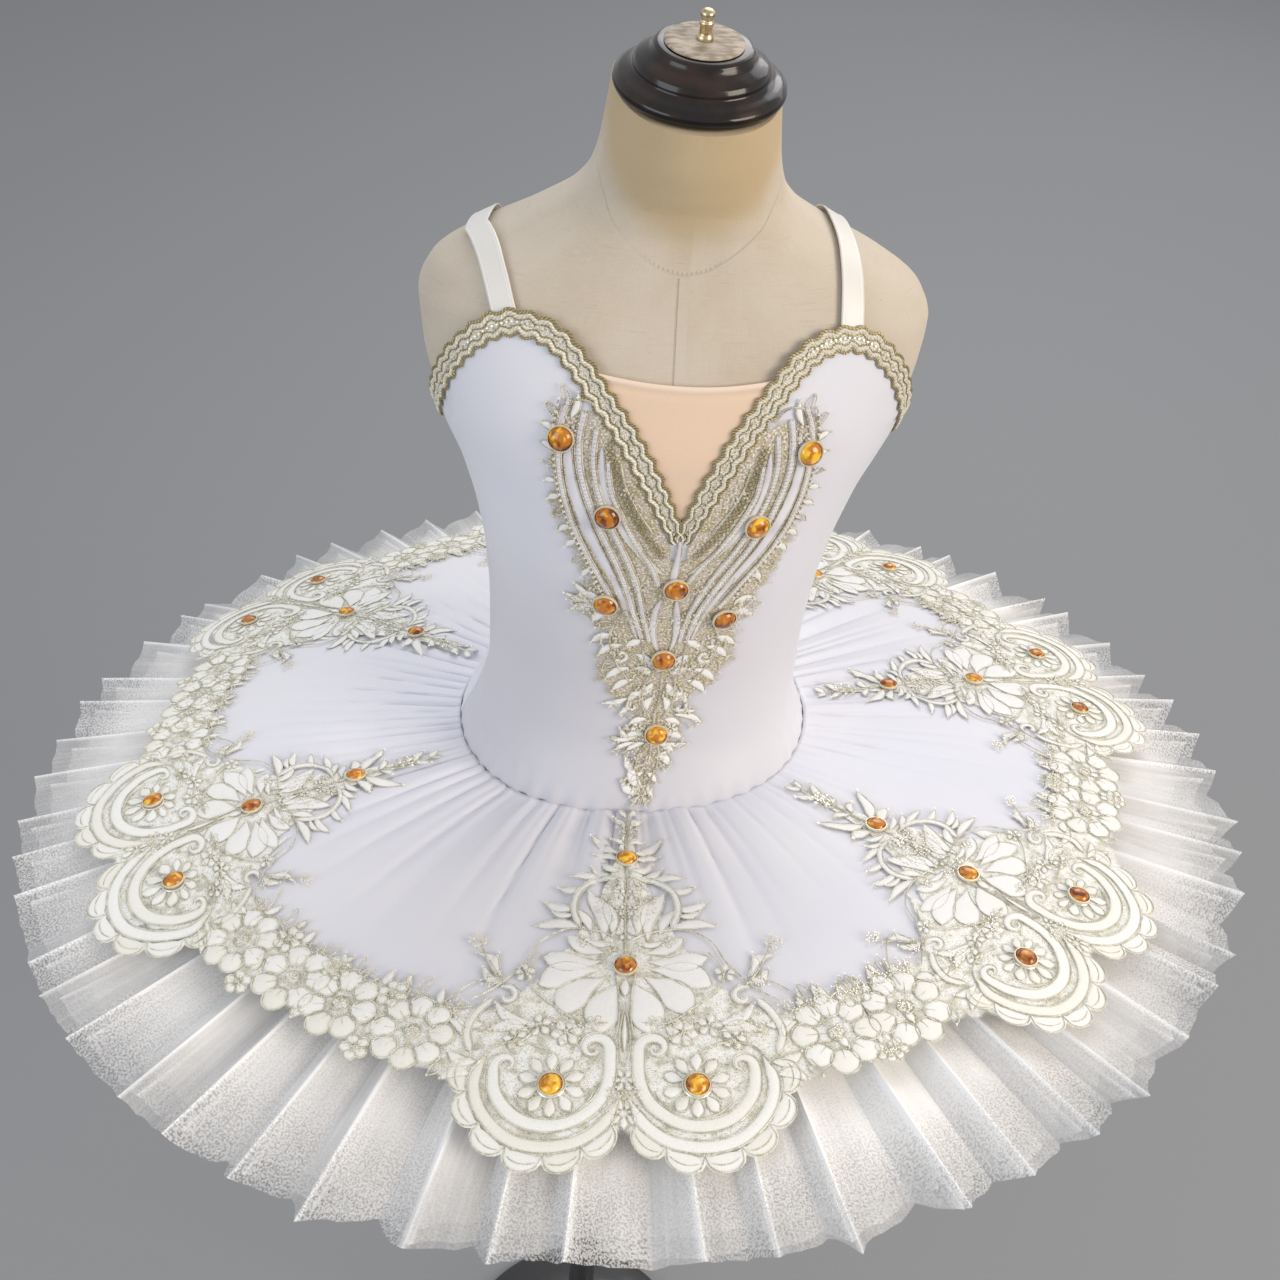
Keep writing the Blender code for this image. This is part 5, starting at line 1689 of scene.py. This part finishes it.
STONE_LEAN = (0.31, 0.17, 0.93)       # turns each stone a little differently
STONE_SIDES = 10
# A stone from its foot to its table: radius, height and turn in steps, where a step is one side.
STONE_PROFILE = np.array([(0.9, 0.0, 0), (1.0, 0.1, 0), (0.97, 0.28, 0), (0.74, 0.56, 0.5), (0.44, 0.72, 0)])


def build_stones(name, places, slopes, nodes, grown=1.0):
    """Faceted round stones, each in a thin rim: a girdle, two rings of crown facets turned half
    a step from each other, and a flat table."""
    across = unit(np.cross(slopes, STONE_LEAN))
    up = np.cross(slopes, across)
    reach = bpy.context.scene.tutu_sizes.stone * grown
    radius, height, step = (part[:, None] for part in STONE_PROFILE.T)
    turn = 2 * math.pi * (np.arange(STONE_SIDES) + step) / STONE_SIDES
    flat = stacked(radius * np.cos(turn), radius * np.sin(turn), height)
    axes = np.stack([across, up, slopes], axis=1)
    dice = np.random.default_rng(8)
    facet = dice.uniform(0, 1, (len(places), *flat.shape[:2]))
    whole = dice.uniform(0, 1, (len(places), 1, 1))
    work = Patchwork()
    work.patch(places[:, None, None] + (flat * reach) @ axes[:, None], np.zeros(2), turn=0.0, ends=True,
               values=0.65 * facet + 0.35 * whole)
    stones = work.piece(name, [make_amber()], flat=True, facing=True, value="tone")
    stands_for(stones, "amber_stone", *nodes)
    rim = Patchwork()
    turn = np.radians(np.arange(28) * 360 / 28)[:, None]
    round_ = np.radians(np.arange(6) * 60)[None, :]
    wide = 1.02 + 0.08 * np.cos(round_)
    ring = stacked(wide * np.cos(turn), wide * np.sin(turn), 0.2 + 0.16 * np.sin(round_))
    ring = np.concatenate([ring, ring[:1]])
    rim.patch(places[:, None, None] + (ring * reach) @ axes[:, None], np.zeros(2), turn=0.0)
    stands_for(rim.piece(name + "_rims", [make_bead()], facing=True, value="tone"), "amber_stone")


def build_skirt_stones():
    """The skirt's stones, square to the lace round them."""
    around = ((0, 0), (0.006, 0), (-0.006, 0), (0, 0.006), (0, -0.006))
    points = np.array([[skirt_plan(motif)(x + dx, y + dy, 0.0007) for dx, dy in around]
                       for motif, x, y in skirt_stones()])
    slopes = unit(np.cross(points[:, 1] - points[:, 2], points[:, 4] - points[:, 3]))
    build_stones("skirt_stones", points[:, 0], slopes, [])
# ---- the bodice's lace and trims ----

# The lace's middle line on the front: how far it sits to the right at each height.
MIDDLE_HEIGHTS = (0.02, 0.06, 0.116, 0.148, 0.187, 0.206, 0.243)
MIDDLE_SHIFTS = (-0.0045, 0.0018, 0.0028, 0.0012, 0.004, 0.0043, 0.0033)
LACE_HEIGHTS = (0.0208, 0.258)

# Plumes on one side of the middle, from the top down, in millimetres: half width and line.
BRAIDS = (
    (1.7, ((49, 257), (51, 243), (49, 226), (43, 207), (35, 190), (26, 172), (18, 152), (12, 130))),
    (1.5, ((43, 250), (44, 236), (41, 219), (34, 201), (26, 185), (18, 168), (12, 148), (8, 128))),
    (1.3, ((37, 236), (35, 221), (28, 205), (20, 191), (12, 179), (7, 168))),
    (1.5, ((56, 262), (60, 250), (60, 232), (57, 214), (51, 196), (43, 180), (34, 165), (27, 152))),
)
SHEERS = (
    (2.7, ((53, 252), (55.5, 240), (54, 224), (49, 207), (42, 191), (33, 175), (24, 158), (18, 142))),
    (2.4, ((40, 243), (39.5, 230), (34, 212), (25, 196), (15, 183), (6, 175))),
    (1.8, ((31, 172), (25, 160), (19, 146), (14, 128))),
    (2, ((4, 158), (6, 146), (6, 132), (3, 120))),
)
BODICE_LEAVES = (
    (57, 258, 60, 268, 1.6, 0.1, 0), (55, 254, 52, 266, 1.6), (61, 252, 67, 259, 1.5, 0.1, 0),
    (62, 246, 69, 250, 1.6), (63, 238, 69, 241, 1.5), (62, 230, 68, 231, 1.6, 0.1, 0),
    (61, 222, 67, 221, 1.6), (59, 214, 65, 211, 1.6), (56, 206, 62, 202, 1.6, 0.1, 0),
    (53, 198, 59, 193, 1.7), (49, 190, 55, 184, 1.7), (45, 182, 50, 175, 1.7, 0.1, 0),
    (40, 174, 45, 167, 1.7), (34, 154, 44, 156, 2.2), (36, 152, 50, 149, 2.2, 0.1, 0),
    (34, 149, 46, 142, 2.2), (30, 146, 37, 137, 2.2), (24, 138, 36, 133, 2.2, 0.1, 0),
    (26, 130, 38, 122, 2.2), (22, 124, 34, 114, 2.2), (20, 116, 31, 104, 2.2, 0.1, 0),
    (17, 108, 29, 98, 2.2), (14, 100, 25, 90, 2.2), (8, 92, 16, 83, 2.2), (5, 72, 14, 68, 2),
    (5, 62, 16, 59, 2), (4, 56, 13, 50, 2), (1, 38, 7, 33, 1.6), (0, 32, 6, 26, 1.4),
    (0, 27, 4, 20, 1.3), (6, 110, 14, 118, 2.4), (5, 104, 14, 108, 2.4), (4, 98, 10, 88, 2.4, -0.1),
    (3, 88, 6, 76, 2.2), (10, 128, 20, 122, 2.2),
)

# Leaves on one side only, round the lower stones, with signed distances from the middle.
LONE_LEAVES = (
    (10, 75, 26, 68, 1.9, 0.12), (9, 79, 22, 77, 1.6, -0.1), (7, 84, 17, 88, 1.5), (-9, 60, -24, 57, 1.6),
    (-8, 56, -20, 49, 1.6, -0.1), (-13, 58, -19, 65, 1.4), (8, 56, 20, 55, 1.6, -0.1), (5, 48, 13, 42, 2.1),
    (4, 46, 10, 51, 1.6, -0.1), (0, 30, -9, 42, 2.8, 0.12), (-2, 27, -12, 33, 1.9), (-4, 36, -13, 47, 1.7),
    (-16, 86, -29, 80, 1.9), (-14, 84, -20, 74, 1.7), (-36, 152, -52, 153, 1.9),
    (-36, 149, -49, 141, 1.9, -0.1), (-38, 156, -48, 162, 1.6),
)


def draw_bodice():
    """Half of the bodice's lace, then its mirror image: plumes of beaded braid and sheer strips
    run down beside the V, draw together at its point and flow on to the waist, with sequinned
    leaves along their outer side and round the stones below."""
    made = Drawing()
    for half, knots in SHEERS:
        path = curve(knots, 40)
        share = np.linspace(0, 1, 40)
        made.satin(path, 0.001 * half * np.sin(np.pi * share**0.8)**0.6, 0.0007, finish=4)
    for half, knots in BRAIDS:
        path = curve(knots, 50)
        for side in (-1, 1):
            made.cord(beside(path, side * 0.001 * half))
        made.strand(path, 0.0009 * half, 0.0008, 0.0, 4)
        for level in (-0.35, 0.35):
            made.beads(beside(path, level * 0.001 * half), 0.0019, 0.0006)
    made.leaves(BODICE_LEAVES, 0.0008)
    edge = curve([(61, 262), (63, 246), (61.5, 228), (58, 210), (51, 192), (42, 175), (33, 158)], 90)
    made.beads(edge, 0.003, 0.001)
    made.cord(edge, 0.0009, finish=3)
    gold = curve([(37, 246), (33, 230), (26, 213), (17, 198), (7, 185)], 150)
    wave = np.sin(np.linspace(0, 150, 150))
    for level, swing in ((-0.0014, 0.001), (0.0, -0.0012), (0.0014, 0.001)):
        made.cord(beside(gold, level + swing * wave), 0.0006, finish=3)
    for knots in ([(31, 236), (28, 224), (22, 212), (14, 200)], [(40, 256), (46, 262), (54, 262), (58, 256)],
                  [(20, 150), (26, 138), (28, 124), (24, 110), (15, 96)], [(8, 150), (12, 132), (10, 114)],
                  [(3, 110), (8, 98), (8, 84), (3, 72)], [(3, 56), (6, 46), (4, 36), (0, 26)]):
        made.line(0.001, *knots, count=30)
    made.ribbon(spiral(22, 116, 1.0, 4.6, 0, 330), 0.0012)
    made.ribbon(spiral(13, 80, 0.8, 3.6, 90, 420), 0.001)
    made.flower(38, 148, 1.0, 5.0, 5, 1.6, 10)
    made.flower(9, 66, 0.8, 4.2, 5, 1.4, 50)
    for seed, x, y, spread, count in ((31, 55, 250, 5, 22), (32, 40, 148, 8, 34), (33, 25, 124, 9, 46),
                                      (34, 12, 110, 7, 34), (35, 10, 142, 8, 34), (36, 9, 90, 7, 30),
                                      (37, 7, 64, 6, 26), (38, 4, 44, 6, 22), (39, 2, 27, 5, 22),
                                      (40, 26, 222, 5, 16), (41, 16, 166, 6, 22)):
        made.scatter(seed, x, y, spread, count, 0.0007)
    made.both()
    for row in LONE_LEAVES:
        made.leaves([row], 0.0008)
        made.scatter(row[3], row[2] * 0.8, row[3], 3.2, 7, 0.0008)
    made.line(0.0012, (0, 108), (1.0, 90), (-0.8, 74), (0, 56), (0.6, 40), (0, 21), count=60)
    made.satin(curve([(0, 196), (0, 184), (0, 172)]), np.linspace(0.0009, 0.0021, 24), finish=4)
    return made


def bodice_plan(x, y, lift):
    """How the drawing lies on the bodice's front: its middle line leans with the V."""
    x = x + np.interp(y, MIDDLE_HEIGHTS, MIDDLE_SHIFTS)
    return front_plan(x, y, SECOND_LAYER + 0.0004 + lift + hip_flare(np.degrees(x / FRONT_RADIUS), y))


def trim_inner(heights, side):
    """How far across the lower edge of a side trim is at heights above the point of the V."""
    angles = side * np.linspace(0, 52, 200)
    line = form_point(neck_turn(angles), neckline_height(angles))
    flat = stacked(line[:, 0], line[:, 2] - HIP_HEIGHT)
    edge = beside(flat, -side * 0.0046)
    return np.interp(heights, edge[:, 1], edge[:, 0])


def bodice_ground():
    """The net under the bodice's lace: from its middle line, or from the trim higher up, out to
    its outline on either side."""
    heights = np.linspace(*LACE_HEIGHTS, 110)[:, None]
    middle = np.interp(heights, MIDDLE_HEIGHTS, MIDDLE_SHIFTS)
    work = Patchwork()
    edges = []
    for side, name in ((-1, "left"), (1, "right")):
        outer = side * smooth(BODICE_LACE, name, heights)
        inner = np.where(heights > 0.182, trim_inner(heights, side), middle)
        across = between(inner, outer, np.linspace(0, 1, 20))[:, ::side]
        lift = SECOND_LAYER + 0.0002 + hip_flare(np.degrees(across / FRONT_RADIUS), heights)
        work.patch(front_plan(across, heights, lift), stacked(across, heights))
        reach = np.minimum(heights - LACE_HEIGHTS[0] + 0.0003, LACE_HEIGHTS[1] + 0.004 - heights)
        edges.append(np.minimum(np.abs(outer - across), reach).ravel())
    piece = work.piece("bodice_lace_ground", [make_bodice_net()])
    note(piece, "edge", np.concatenate(edges))
    return piece


def build_bodice_lace():
    """The bodice's lace on its net."""
    work = Patchwork()
    draw_bodice().lay(work, bodice_plan)
    finishes = [make_satin(), make_warm_cord(), make_bead(), make_gold(), make_sheer()]
    piece = work.piece("bodice_embroidery", finishes, facing=True, value="tone")
    stands_for(piece, "cream_lace")
    ground = bodice_ground()
    stands_for(ground, "cream_lace", "bodice_lace")


def edge_line(start, end, count=300):
    """Points on the form along the neckline, evenly spaced, and the way up across them."""
    fine = np.linspace(start, end, 400)
    points = on_form(form_point(neck_turn(fine), neckline_height(fine)), 0.0)
    line, along = resample(points, count)
    across = unit(np.cross(form_slope(line), np.gradient(line, axis=0))) * math.copysign(1, end - start)
    return line, across, along


TRIM_WAVE = 0.0085
TRIM_WIDTH = 0.0098
# Its strands: place across it, swing, width, and 3 for braid or 4 for gold thread.
TRIM_STRANDS = (
    (0.0041, 0.0009, 0.0025, 3), (-0.0027, -0.0009, 0.0025, 3), (0.0059, 0.0009, 0.0018, 4),
    (0.0026, 0.0009, 0.0008, 4), (-0.0011, -0.0009, 0.0008, 4), (-0.0045, -0.001, 0.0014, 4),
)


def draw_trim(length):
    """A trim drawn straight: two wavy cream braids with sequins between, a gold-green thread
    along the upper edge and a finer one along the lower."""
    made = Drawing()
    waves = max(round(length / TRIM_WAVE), 1)
    pieces = max(round(length / 0.06), 1)
    for part in range(pieces):
        s = np.linspace(part / pieces - 0.002, (part + 1) / pieces + 0.002, 160) * length
        phase = 2 * math.pi * waves * s / length
        for level, swing, width, finish in TRIM_STRANDS:
            path = stacked(s, level + swing * np.sin(phase) + 0.00025 * np.sin(phase * 2.7))
            made.strand(path, width / 2, width * 0.55, 0.0002, finish)
    s = np.arange(0.001, length - 0.001, 0.0024)
    made.studs(stacked(s, 0.0007 + 0.0008 * np.sin(5200 * s)), 0.0008)
    return made


def build_trims():
    """The two side trims and the back one, each on a strip of sequinned net."""
    finishes = [make_satin(), make_cord(), make_bead(), make_braid(), make_gold()]
    runs = (("left", -0.6, -TRIM_SIDE), ("right", 0.6, TRIM_SIDE),
            ("back", TRIM_SIDE + 0.5, 359.5 - TRIM_SIDE))
    for name, start, end in runs:
        line, across, along = edge_line(start, end)
        length = float(along[-1])

        def plan(x, y, lift):
            x = np.clip(x, 0, length)
            place = read_along(x, along, line)
            way = read_along(x, along, across)
            narrow = 1.0 if name == "back" else 0.65 + 0.35 * np.clip(x / 0.03, 0, 1)
            return on_form(place + way * (y * narrow)[..., None], SECOND_LAYER + lift)

        work = Patchwork()
        draw_trim(length).lay(work, plan)
        braid = work.piece(f"trim_braid_{name}", finishes, facing=True, value="tone")
        stands_for(braid, "cream_braid")
        s = np.linspace(0, length, 260)
        t = 0.0007 + (rows_of(9) - 0.5) * (TRIM_WIDTH + 0.0005 * np.sin(2 * math.pi * s / TRIM_WAVE))
        order = slice(None, None, -1 if name == "left" else 1)
        strip = sheet_of(f"trim_net_{name}", plan(s, t, 0.0001)[:, order], stacked(s, t)[:, order],
                         make_sequin_net())
        stands_for(strip, "cream_braid", f"neckline_trim_{name}")


def build_bodice_stones():
    """The nine stones on the bodice's lace, square to the form."""
    flat = stacked(BODICE_GEMS["across"], BODICE_GEMS["height"])
    places = front_plan(*flat.T, THIRD_LAYER - 0.0004)
    slopes = unit(form_slope(front_plan(*flat.T, 0.0)))
    build_stones("bodice_stones", places, slopes, [f"bodice_gem_{i}" for i in range(1, 10)], 1.12)


# ---- the add-on ----

# The colours that the user can change: name, what it is for, and default.
COLOURS = (
    ("linen", "Linen of the form", (0.64, 0.56, 0.46)),
    ("linen_shade", "Aged blotches of the linen", (0.56, 0.47, 0.36)),
    # Yellower linen above the neck's seam.
    ("linen_aged", "Yellowed linen of the neck", (0.52, 0.38, 0.193)),
    ("linen_light", "Pale slubs of the linen", (0.68, 0.63, 0.54)),
    ("linen_speck", "Seams and specks of the linen", (0.2, 0.17, 0.13)),
    ("black_wood", "Lacquer of the cap", (0.008, 0.006, 0.005)),
    ("black_wood_worn", "Brown under the lacquer", (0.03, 0.014, 0.008)),
    ("worn_wood", "Disc in the cap", (0.52, 0.45, 0.36)),
    ("worn_wood_dark", "Grain of the disc", (0.28, 0.22, 0.16)),
    ("worn_wood_light", "Scuffs of the disc", (0.68, 0.63, 0.55)),
    ("brass", "Finial", (0.8, 0.66, 0.42)),
    ("brass_dark", "Dull brass", (0.42, 0.31, 0.16)),
    ("black_iron", "Stand", (0.018, 0.018, 0.02)),
    ("cloth", "White stretch cloth", (0.79, 0.785, 0.83)),
    ("cloth_shade", "Cool blush of the cloth", (0.74, 0.74, 0.81)),
    # Painted shade: the grey that the bodice's cloth takes towards the waist's front.
    ("cloth_worn", "Greyer cloth at the waist's front", (0.62, 0.61, 0.65)),
    ("skin_net", "Insert", (0.78, 0.58, 0.42)),
    ("skin_net_edge", "Rolled edge of the insert", (0.88, 0.7, 0.56)),
    ("elastic", "Shoulder straps", (0.82, 0.79, 0.74)),
    ("elastic_edge", "Welt of the straps", (0.92, 0.91, 0.9)),
    ("net", "Pleated net", (0.9, 0.885, 0.87)),
    ("net_crease", "Folded ridges of the net", (0.96, 0.96, 0.96)),
    ("satin", "Satin stitch", (0.92, 0.9, 0.83)),
    ("satin_light", "Palest satin stitch", (0.96, 0.955, 0.93)),
    ("satin_cool", "Satin stitch near the hip", (0.9, 0.895, 0.925)),
    ("satin_shade", "Gaps between the threads", (0.8, 0.78, 0.65)),
    ("cord", "Sage outline cord", (0.58, 0.56, 0.43)),
    ("cord_shade", "Hollows of the cord", (0.34, 0.32, 0.22)),
    ("cord_light", "Glints of the cord", (0.8, 0.78, 0.68)),
    ("warm_cord", "Beige cord of the bodice's lace", (0.66, 0.57, 0.42)),
    ("bead", "Gold beads", (0.76, 0.7, 0.52)),
    ("bead_light", "Silver beads and sequins", (0.9, 0.89, 0.86)),
    ("net_stitch", "Beige stitches on the bodice's net", (0.6, 0.51, 0.39)),
    ("gold_thread", "Gold-green thread", (0.47, 0.4, 0.21)),
    ("gold_shade", "Hollows of the gold thread", (0.2, 0.16, 0.07)),
    ("braid", "Cream braid", (0.95, 0.91, 0.81)),
    ("braid_shade", "Hollows of the braid", (0.68, 0.61, 0.48)),
    ("sheer", "Sheer strips", (0.82, 0.81, 0.84)),
    ("sheer_shade", "Cool side of the strips", (0.66, 0.63, 0.72)),
    ("amber", "Stones", (0.52, 0.17, 0.006)),
    # Painted shade and painted reflection: the dark and the bright facets of the stones.
    ("amber_dark", "Deep facets of the stones", (0.16, 0.035, 0.002)),
    ("amber_light", "Bright facets of the stones", (0.95, 0.55, 0.03)),
    ("floor", "Floor", (0.265, 0.27, 0.28)),
)


class TutuSizes(bpy.types.PropertyGroup):
    """Sizes that the user can change."""
    cloth: FloatProperty(name="Cloth", description="Thickness of the stretch cloth",
                         default=0.0007, min=0.0002, max=0.0012, unit="LENGTH")
    stone: FloatProperty(name="Stone", description="Radius of the round stones",
                         default=0.0056, min=0.003, max=0.008, unit="LENGTH")


class TutuColours(bpy.types.PropertyGroup):
    """Colours that the user can change, one for each row of the table."""
    __annotations__ = {
        name: FloatVectorProperty(name=name.replace("_", " ").capitalize(), description=about,
                                  default=value, size=3, subtype="COLOR", min=0.0, max=1.0)
        for name, about, value in COLOURS
    }


class TUTU_OT_form(bpy.types.Operator):
    """Make the linen torso and neck of the dress form"""
    bl_idname = "tutu.form"
    bl_label = "Dress form"

    def execute(self, context):
        build_form()
        return {"FINISHED"}


class TUTU_OT_turned(bpy.types.Operator):
    """Make the turned pieces: cap, disc, finial, base, collar and pole"""
    bl_idname = "tutu.turned"
    bl_label = "Cap and stand"

    def execute(self, context):
        build_cap()
        build_stand()
        return {"FINISHED"}


class TUTU_OT_bodice(bpy.types.Operator):
    """Make the bodice's panels, the insert and the straps"""
    bl_idname = "tutu.bodice"
    bl_label = "Bodice"

    def execute(self, context):
        build_bodice()
        build_insert()
        build_straps()
        return {"FINISHED"}


class TUTU_OT_skirt(bpy.types.Operator):
    """Make the brief, the pleated net and the overlay"""
    bl_idname = "tutu.skirt"
    bl_label = "Brief and skirt"

    def execute(self, context):
        build_brief()
        build_nets()
        build_overlay()
        return {"FINISHED"}


class TUTU_OT_bodice_lace(bpy.types.Operator):
    """Make the neckline's trims, the bodice's lace and its stones"""
    bl_idname = "tutu.bodice_lace"
    bl_label = "Bodice lace and trims"

    def execute(self, context):
        build_trims()
        build_bodice_lace()
        build_bodice_stones()
        return {"FINISHED"}


class TUTU_OT_skirt_lace(bpy.types.Operator):
    """Make the skirt's seven lace motifs and their stones"""
    bl_idname = "tutu.skirt_lace"
    bl_label = "Skirt lace"

    def execute(self, context):
        build_skirt_lace()
        build_skirt_stones()
        return {"FINISHED"}


class TUTU_OT_stage(bpy.types.Operator):
    """Make the floor, the lights and the camera"""
    bl_idname = "tutu.stage"
    bl_label = "Stage"

    def execute(self, context):
        build_stage()
        return {"FINISHED"}


OPERATORS = (TUTU_OT_form, TUTU_OT_turned, TUTU_OT_bodice, TUTU_OT_skirt, TUTU_OT_bodice_lace,
             TUTU_OT_skirt_lace, TUTU_OT_stage)


class TUTU_PT_panel(bpy.types.Panel):
    """The sidebar panel that lists the sizes, the colours and the steps"""
    bl_label = "Ballet Tutu"
    bl_idname = "TUTU_PT_panel"
    bl_space_type = "VIEW_3D"
    bl_region_type = "UI"
    bl_category = "Tutu"

    def draw(self, context):
        for group in (context.scene.tutu_sizes, context.scene.tutu_colours):
            for name in group.__annotations__:
                self.layout.prop(group, name)
        for step in OPERATORS:
            self.layout.operator(step.bl_idname)


CLASSES = (TutuSizes, TutuColours, *OPERATORS, TUTU_PT_panel)


def register():
    """Register the classes and hang the sizes and colours on the scene."""
    for made in CLASSES:
        bpy.utils.register_class(made)
    bpy.types.Scene.tutu_sizes = PointerProperty(type=TutuSizes)
    bpy.types.Scene.tutu_colours = PointerProperty(type=TutuColours)


def unregister():
    """Undo register."""
    del bpy.types.Scene.tutu_colours
    del bpy.types.Scene.tutu_sizes
    for made in reversed(CLASSES):
        bpy.utils.unregister_class(made)


def main():
    """Make every piece on the loaded frame."""
    register()
    for step in OPERATORS:
        group, name = step.bl_idname.split(".")
        getattr(getattr(bpy.ops, group), name)()


if __name__ == "__main__":
    main()
